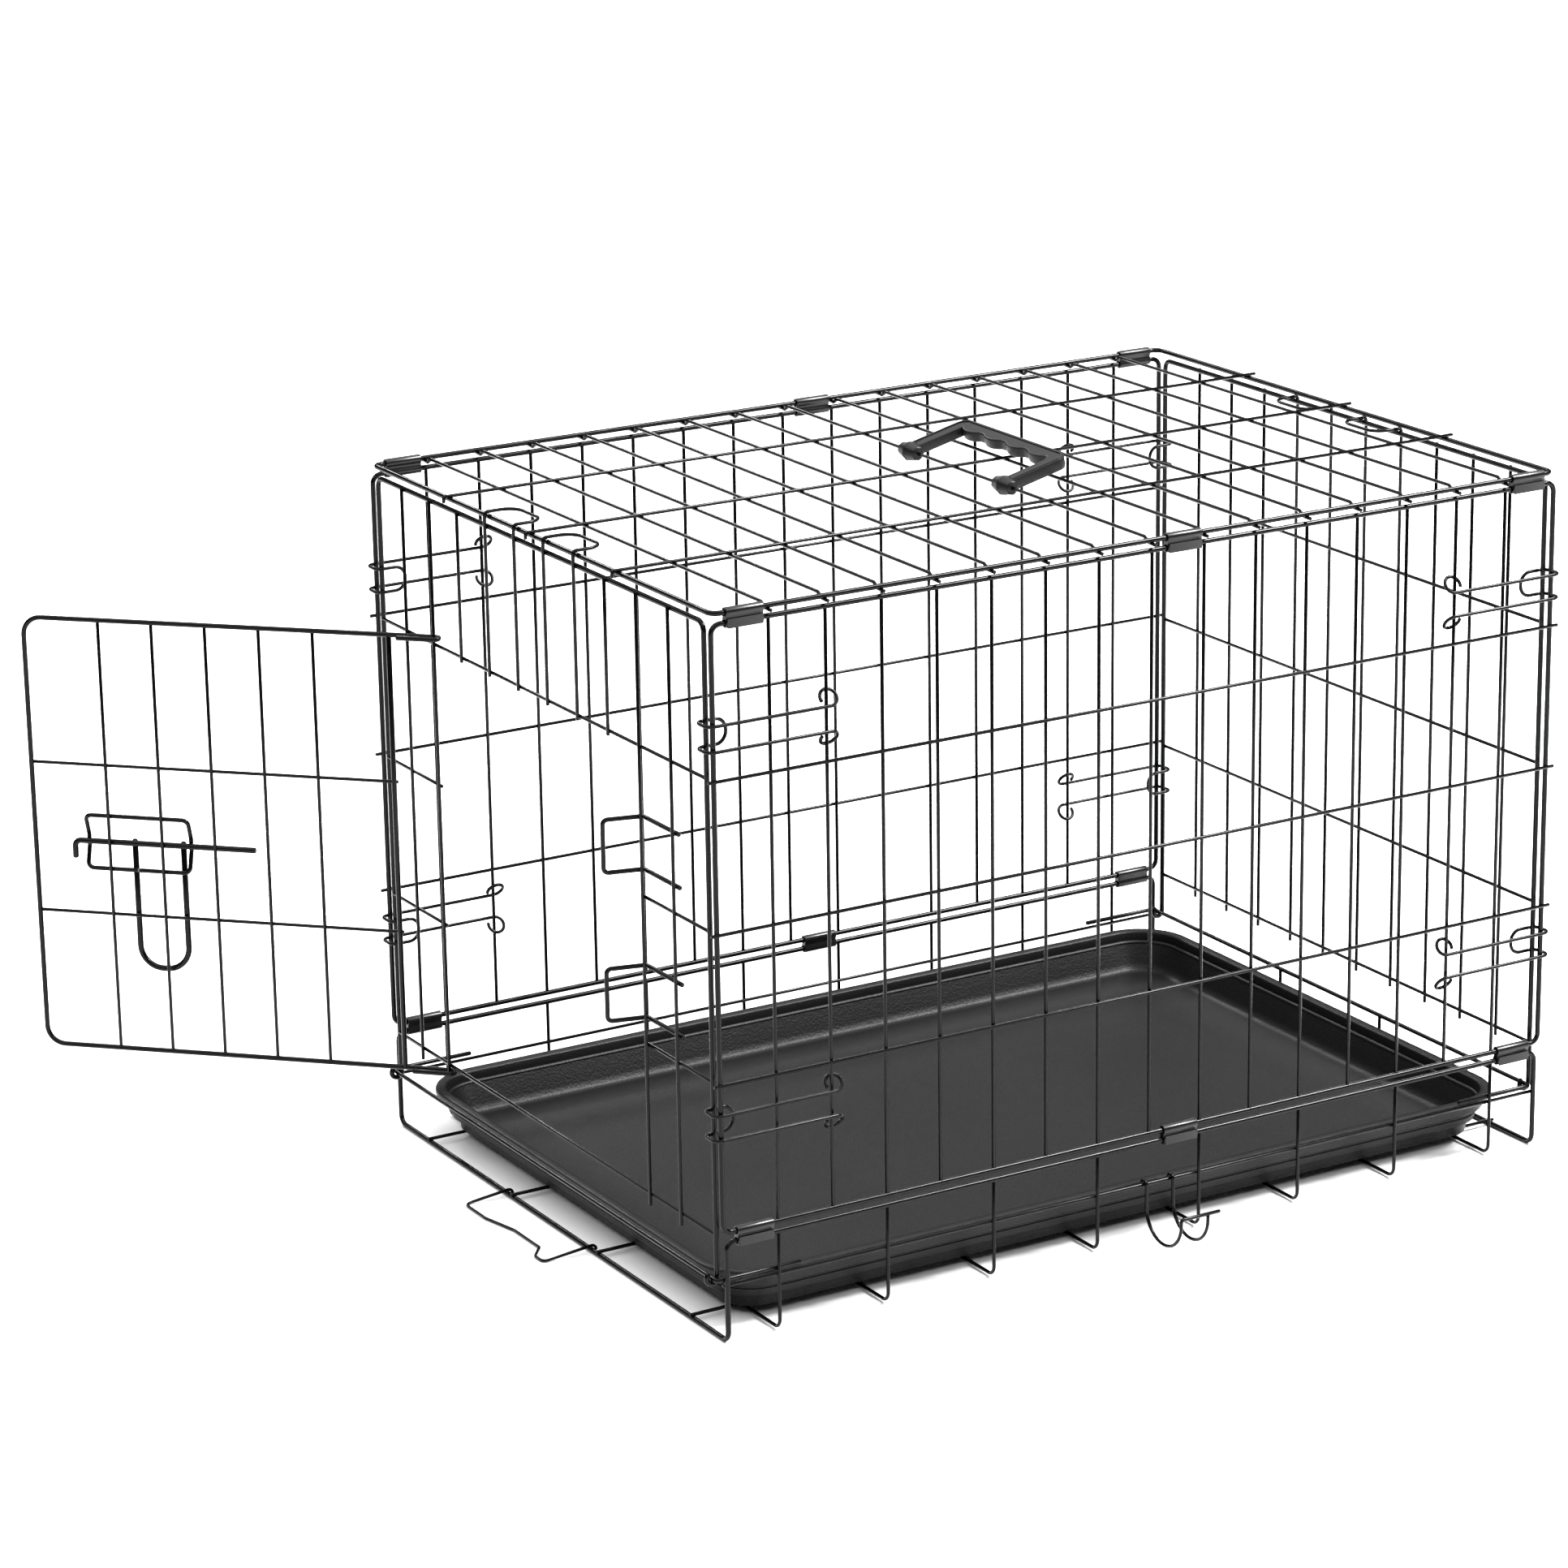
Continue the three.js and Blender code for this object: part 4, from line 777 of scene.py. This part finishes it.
tree.links.new(cells.outputs["Distance"], grain.inputs[0])
tree.links.new(wrinkles.outputs["Fac"], grain.inputs[1])
wear = add_node(
    tree,
    "ShaderNodeTexNoise",
    {"Scale": 9.0, "Detail": 4.0},  # patches about 110 mm across
    {"Vector": (spot, "Object")},
)
shade = add_node(tree, "ShaderNodeValToRGB", None, {"Fac": (wear, "Fac")})
shade.color_ramp.elements[0].position = 0.3
shade.color_ramp.elements[0].color = linear("#070708")
shade.color_ramp.elements[1].position = 0.7
shade.color_ramp.elements[1].color = linear("#0b0b0c")
emboss = add_node(
    tree,
    "ShaderNodeBump",
    {"Strength": 0.55, "Distance": 0.00022},
    {"Height": (grain, "Value")},
)
plastic = add_node(
    tree,
    "ShaderNodeBsdfPrincipled",
    {"Roughness": 0.42, "IOR": 1.25},
    {"Base Color": (shade, "Color"), "Normal": (emboss, "Normal")},
)
add_node(tree, "ShaderNodeOutputMaterial", None, {"Surface": (plastic, "BSDF")})
pan.data.materials.append(tray_plastic)

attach(pan, "tray")
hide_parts("tray")

# ---------------------------------------------------------------- carry handle
# A moulded loop that snaps over the roof's middle cross wire and lies tilted on it: two arms on
# faceted barrels, a grip with finger scallops on its inner edge and a raised edge round the outside.

HANDLE_TILT = 13.5  # degrees
ARM_OUT, ARM_IN = 60.0, 51.0
REACH, CORNER_R, RIDGE = 47.0, 8.0, 2.0
GRIP_X = REACH - 9
AXLE = (0, 0, 451.85)


def handle_edge(inset):
    """The handle's outer edge from one foot round the grip to the other, moved inwards."""
    low = ring_points((REACH - CORNER_R, CORNER_R - ARM_OUT), CORNER_R - inset, -90, 0, 8)
    high = ring_points((REACH - CORNER_R, ARM_OUT - CORNER_R), CORNER_R - inset, 0, 90, 8)
    return [(0, inset - ARM_OUT), *low, *high, (0, ARM_OUT - inset)]


SCALLOPS, SCALLOP_STEPS, SCALLOP_DEPTH = 4, 9, 3.0
scallop_edge = []
for i in range(SCALLOPS):
    for j in range(SCALLOP_STEPS):
        depth = SCALLOP_DEPTH * sin(pi * min(j / 7, 1)) ** 0.8 if j < 8 else 0
        scallop_edge.append((GRIP_X - depth, ARM_IN - (i + j / SCALLOP_STEPS) * ARM_IN / 2))
loop_outline = [*handle_edge(0), (0, ARM_IN), (GRIP_X - 4, ARM_IN), *scallop_edge]
loop_outline += [(GRIP_X - 4, -ARM_IN), (0, -ARM_IN)]
ridge_outline = [*handle_edge(0.3), *reversed(handle_edge(RIDGE))]
handle_parts = [slab([loop_outline], 7.0, 0.9), slab([ridge_outline], 8.6, 0.4)]
FOOT_Y = 55.5
TAPER_OFFSET = 4.18  # middle of each half of a foot, from the foot's middle
for side in (-1, 1):
    for turn_x in (-90, 90):
        y = side * FOOT_Y + (TAPER_OFFSET if turn_x == -90 else -TAPER_OFFSET)
        bpy.ops.mesh.primitive_cone_add(
            vertices=8,
            radius1=6.8,
            radius2=4.6,
            depth=10.35,
            location=(0, y, 0),
            rotation=(radians(turn_x), 0, 0),
        )
        barrel = bpy.context.object
        barrel.modifiers.new("eased_edges", "BEVEL").width = 0.5
        bpy.ops.object.convert(target="MESH")
        bpy.ops.object.transform_apply()
        handle_parts.append(barrel)

# Matte black nylon with a fine spark-eroded texture.
handle_plastic = bpy.data.materials.new("textured_black_nylon")
handle_plastic.use_nodes = True
tree = handle_plastic.node_tree
tree.nodes.clear()
spot = add_node(tree, "ShaderNodeTexCoord")
pits = add_node(
    tree,
    "ShaderNodeTexNoise",
    {"Scale": 2200.0, "Detail": 2.0},  # pits about 0.45 mm across
    {"Vector": (spot, "Object")},
)
shade = add_node(tree, "ShaderNodeValToRGB", None, {"Fac": (pits, "Fac")})
shade.color_ramp.elements[0].color = linear("#060606")
shade.color_ramp.elements[1].color = linear("#0d0d0e")
texture = add_node(tree, "ShaderNodeBump", {"Strength": 0.3, "Distance": 0.00008}, {"Height": (pits, "Fac")})
nylon = add_node(
    tree,
    "ShaderNodeBsdfPrincipled",
    {"Roughness": 0.44, "IOR": 1.27},
    {"Base Color": (shade, "Color"), "Normal": (texture, "Normal")},
)
add_node(tree, "ShaderNodeOutputMaterial", None, {"Surface": (nylon, "BSDF")})
handle_turn = Matrix.Rotation(radians(-HANDLE_TILT), 4, "Y")
handle = seat(handle_parts, "carry_loop", handle_plastic, AXLE, handle_turn, angle=30)
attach(handle, "handle")
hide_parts("carry_handle")

# ---------------------------------------------------------------- studio
# A seamless white floor under a wide soft ceiling, a dim room, and two small soft boxes for the
# crisp bright lines on the wires.

bpy.ops.object.select_all(action="DESELECT")
bpy.ops.mesh.primitive_plane_add(size=60)
floor = bpy.context.object
floor.name = "studio_floor"
floor_paper = bpy.data.materials.new("white_paper")
floor_paper.use_nodes = True
paper = floor_paper.node_tree.nodes["Principled BSDF"]
paper.inputs["Base Color"].default_value = linear("#f6f6f6")
paper.inputs["Roughness"].default_value = 0.9
paper.inputs["Specular IOR Level"].default_value = 0.0
floor.data.materials.append(floor_paper)

room = bpy.data.worlds.new("dim_room")
bpy.context.scene.world = room
room.use_nodes = True
room.node_tree.nodes["Background"].inputs["Color"].default_value = (1, 1, 1, 1)
room.node_tree.nodes["Background"].inputs["Strength"].default_value = 0.06

for name, spot_at, aim, size, power in (
    ("soft_ceiling", (0.5, 1.5, 7.0), (0.5, 1.5, 0), 18, 2900),
    ("soft_box_right", (2.5, -1.4, 3.6), (0.1, 0, 0.3), 1.0, 520),
    ("soft_box_behind", (0.4, 3.6, 2.5), (0.1, 0, 0.3), 0.5, 45),
):
    bpy.ops.object.light_add(type="AREA", location=spot_at)
    lamp = bpy.context.object
    lamp.name = name
    lamp.data.size = size
    lamp.data.energy = power
    lamp.rotation_euler = (Vector(aim) - Vector(spot_at)).to_track_quat("-Z", "Y").to_euler()

bpy.ops.object.camera_add()
camera = bpy.context.object
camera.data.sensor_width = 36
camera.data.lens = 118.33
camera.data.clip_end = 200
YAW, PITCH, ROLL = 0.5285, 0.2991, -0.0162  # radians
turn = Matrix.Rotation(-YAW, 4, "Z") @ Matrix.Rotation(pi / 2 - PITCH, 4, "X") @ Matrix.Rotation(ROLL, 4, "Z")
camera.matrix_world = Matrix.Translation(place((-1701.19, -2689.53, 1224.76))) @ turn
bpy.context.scene.camera = camera
bpy.context.scene.view_settings.view_transform = "Standard"
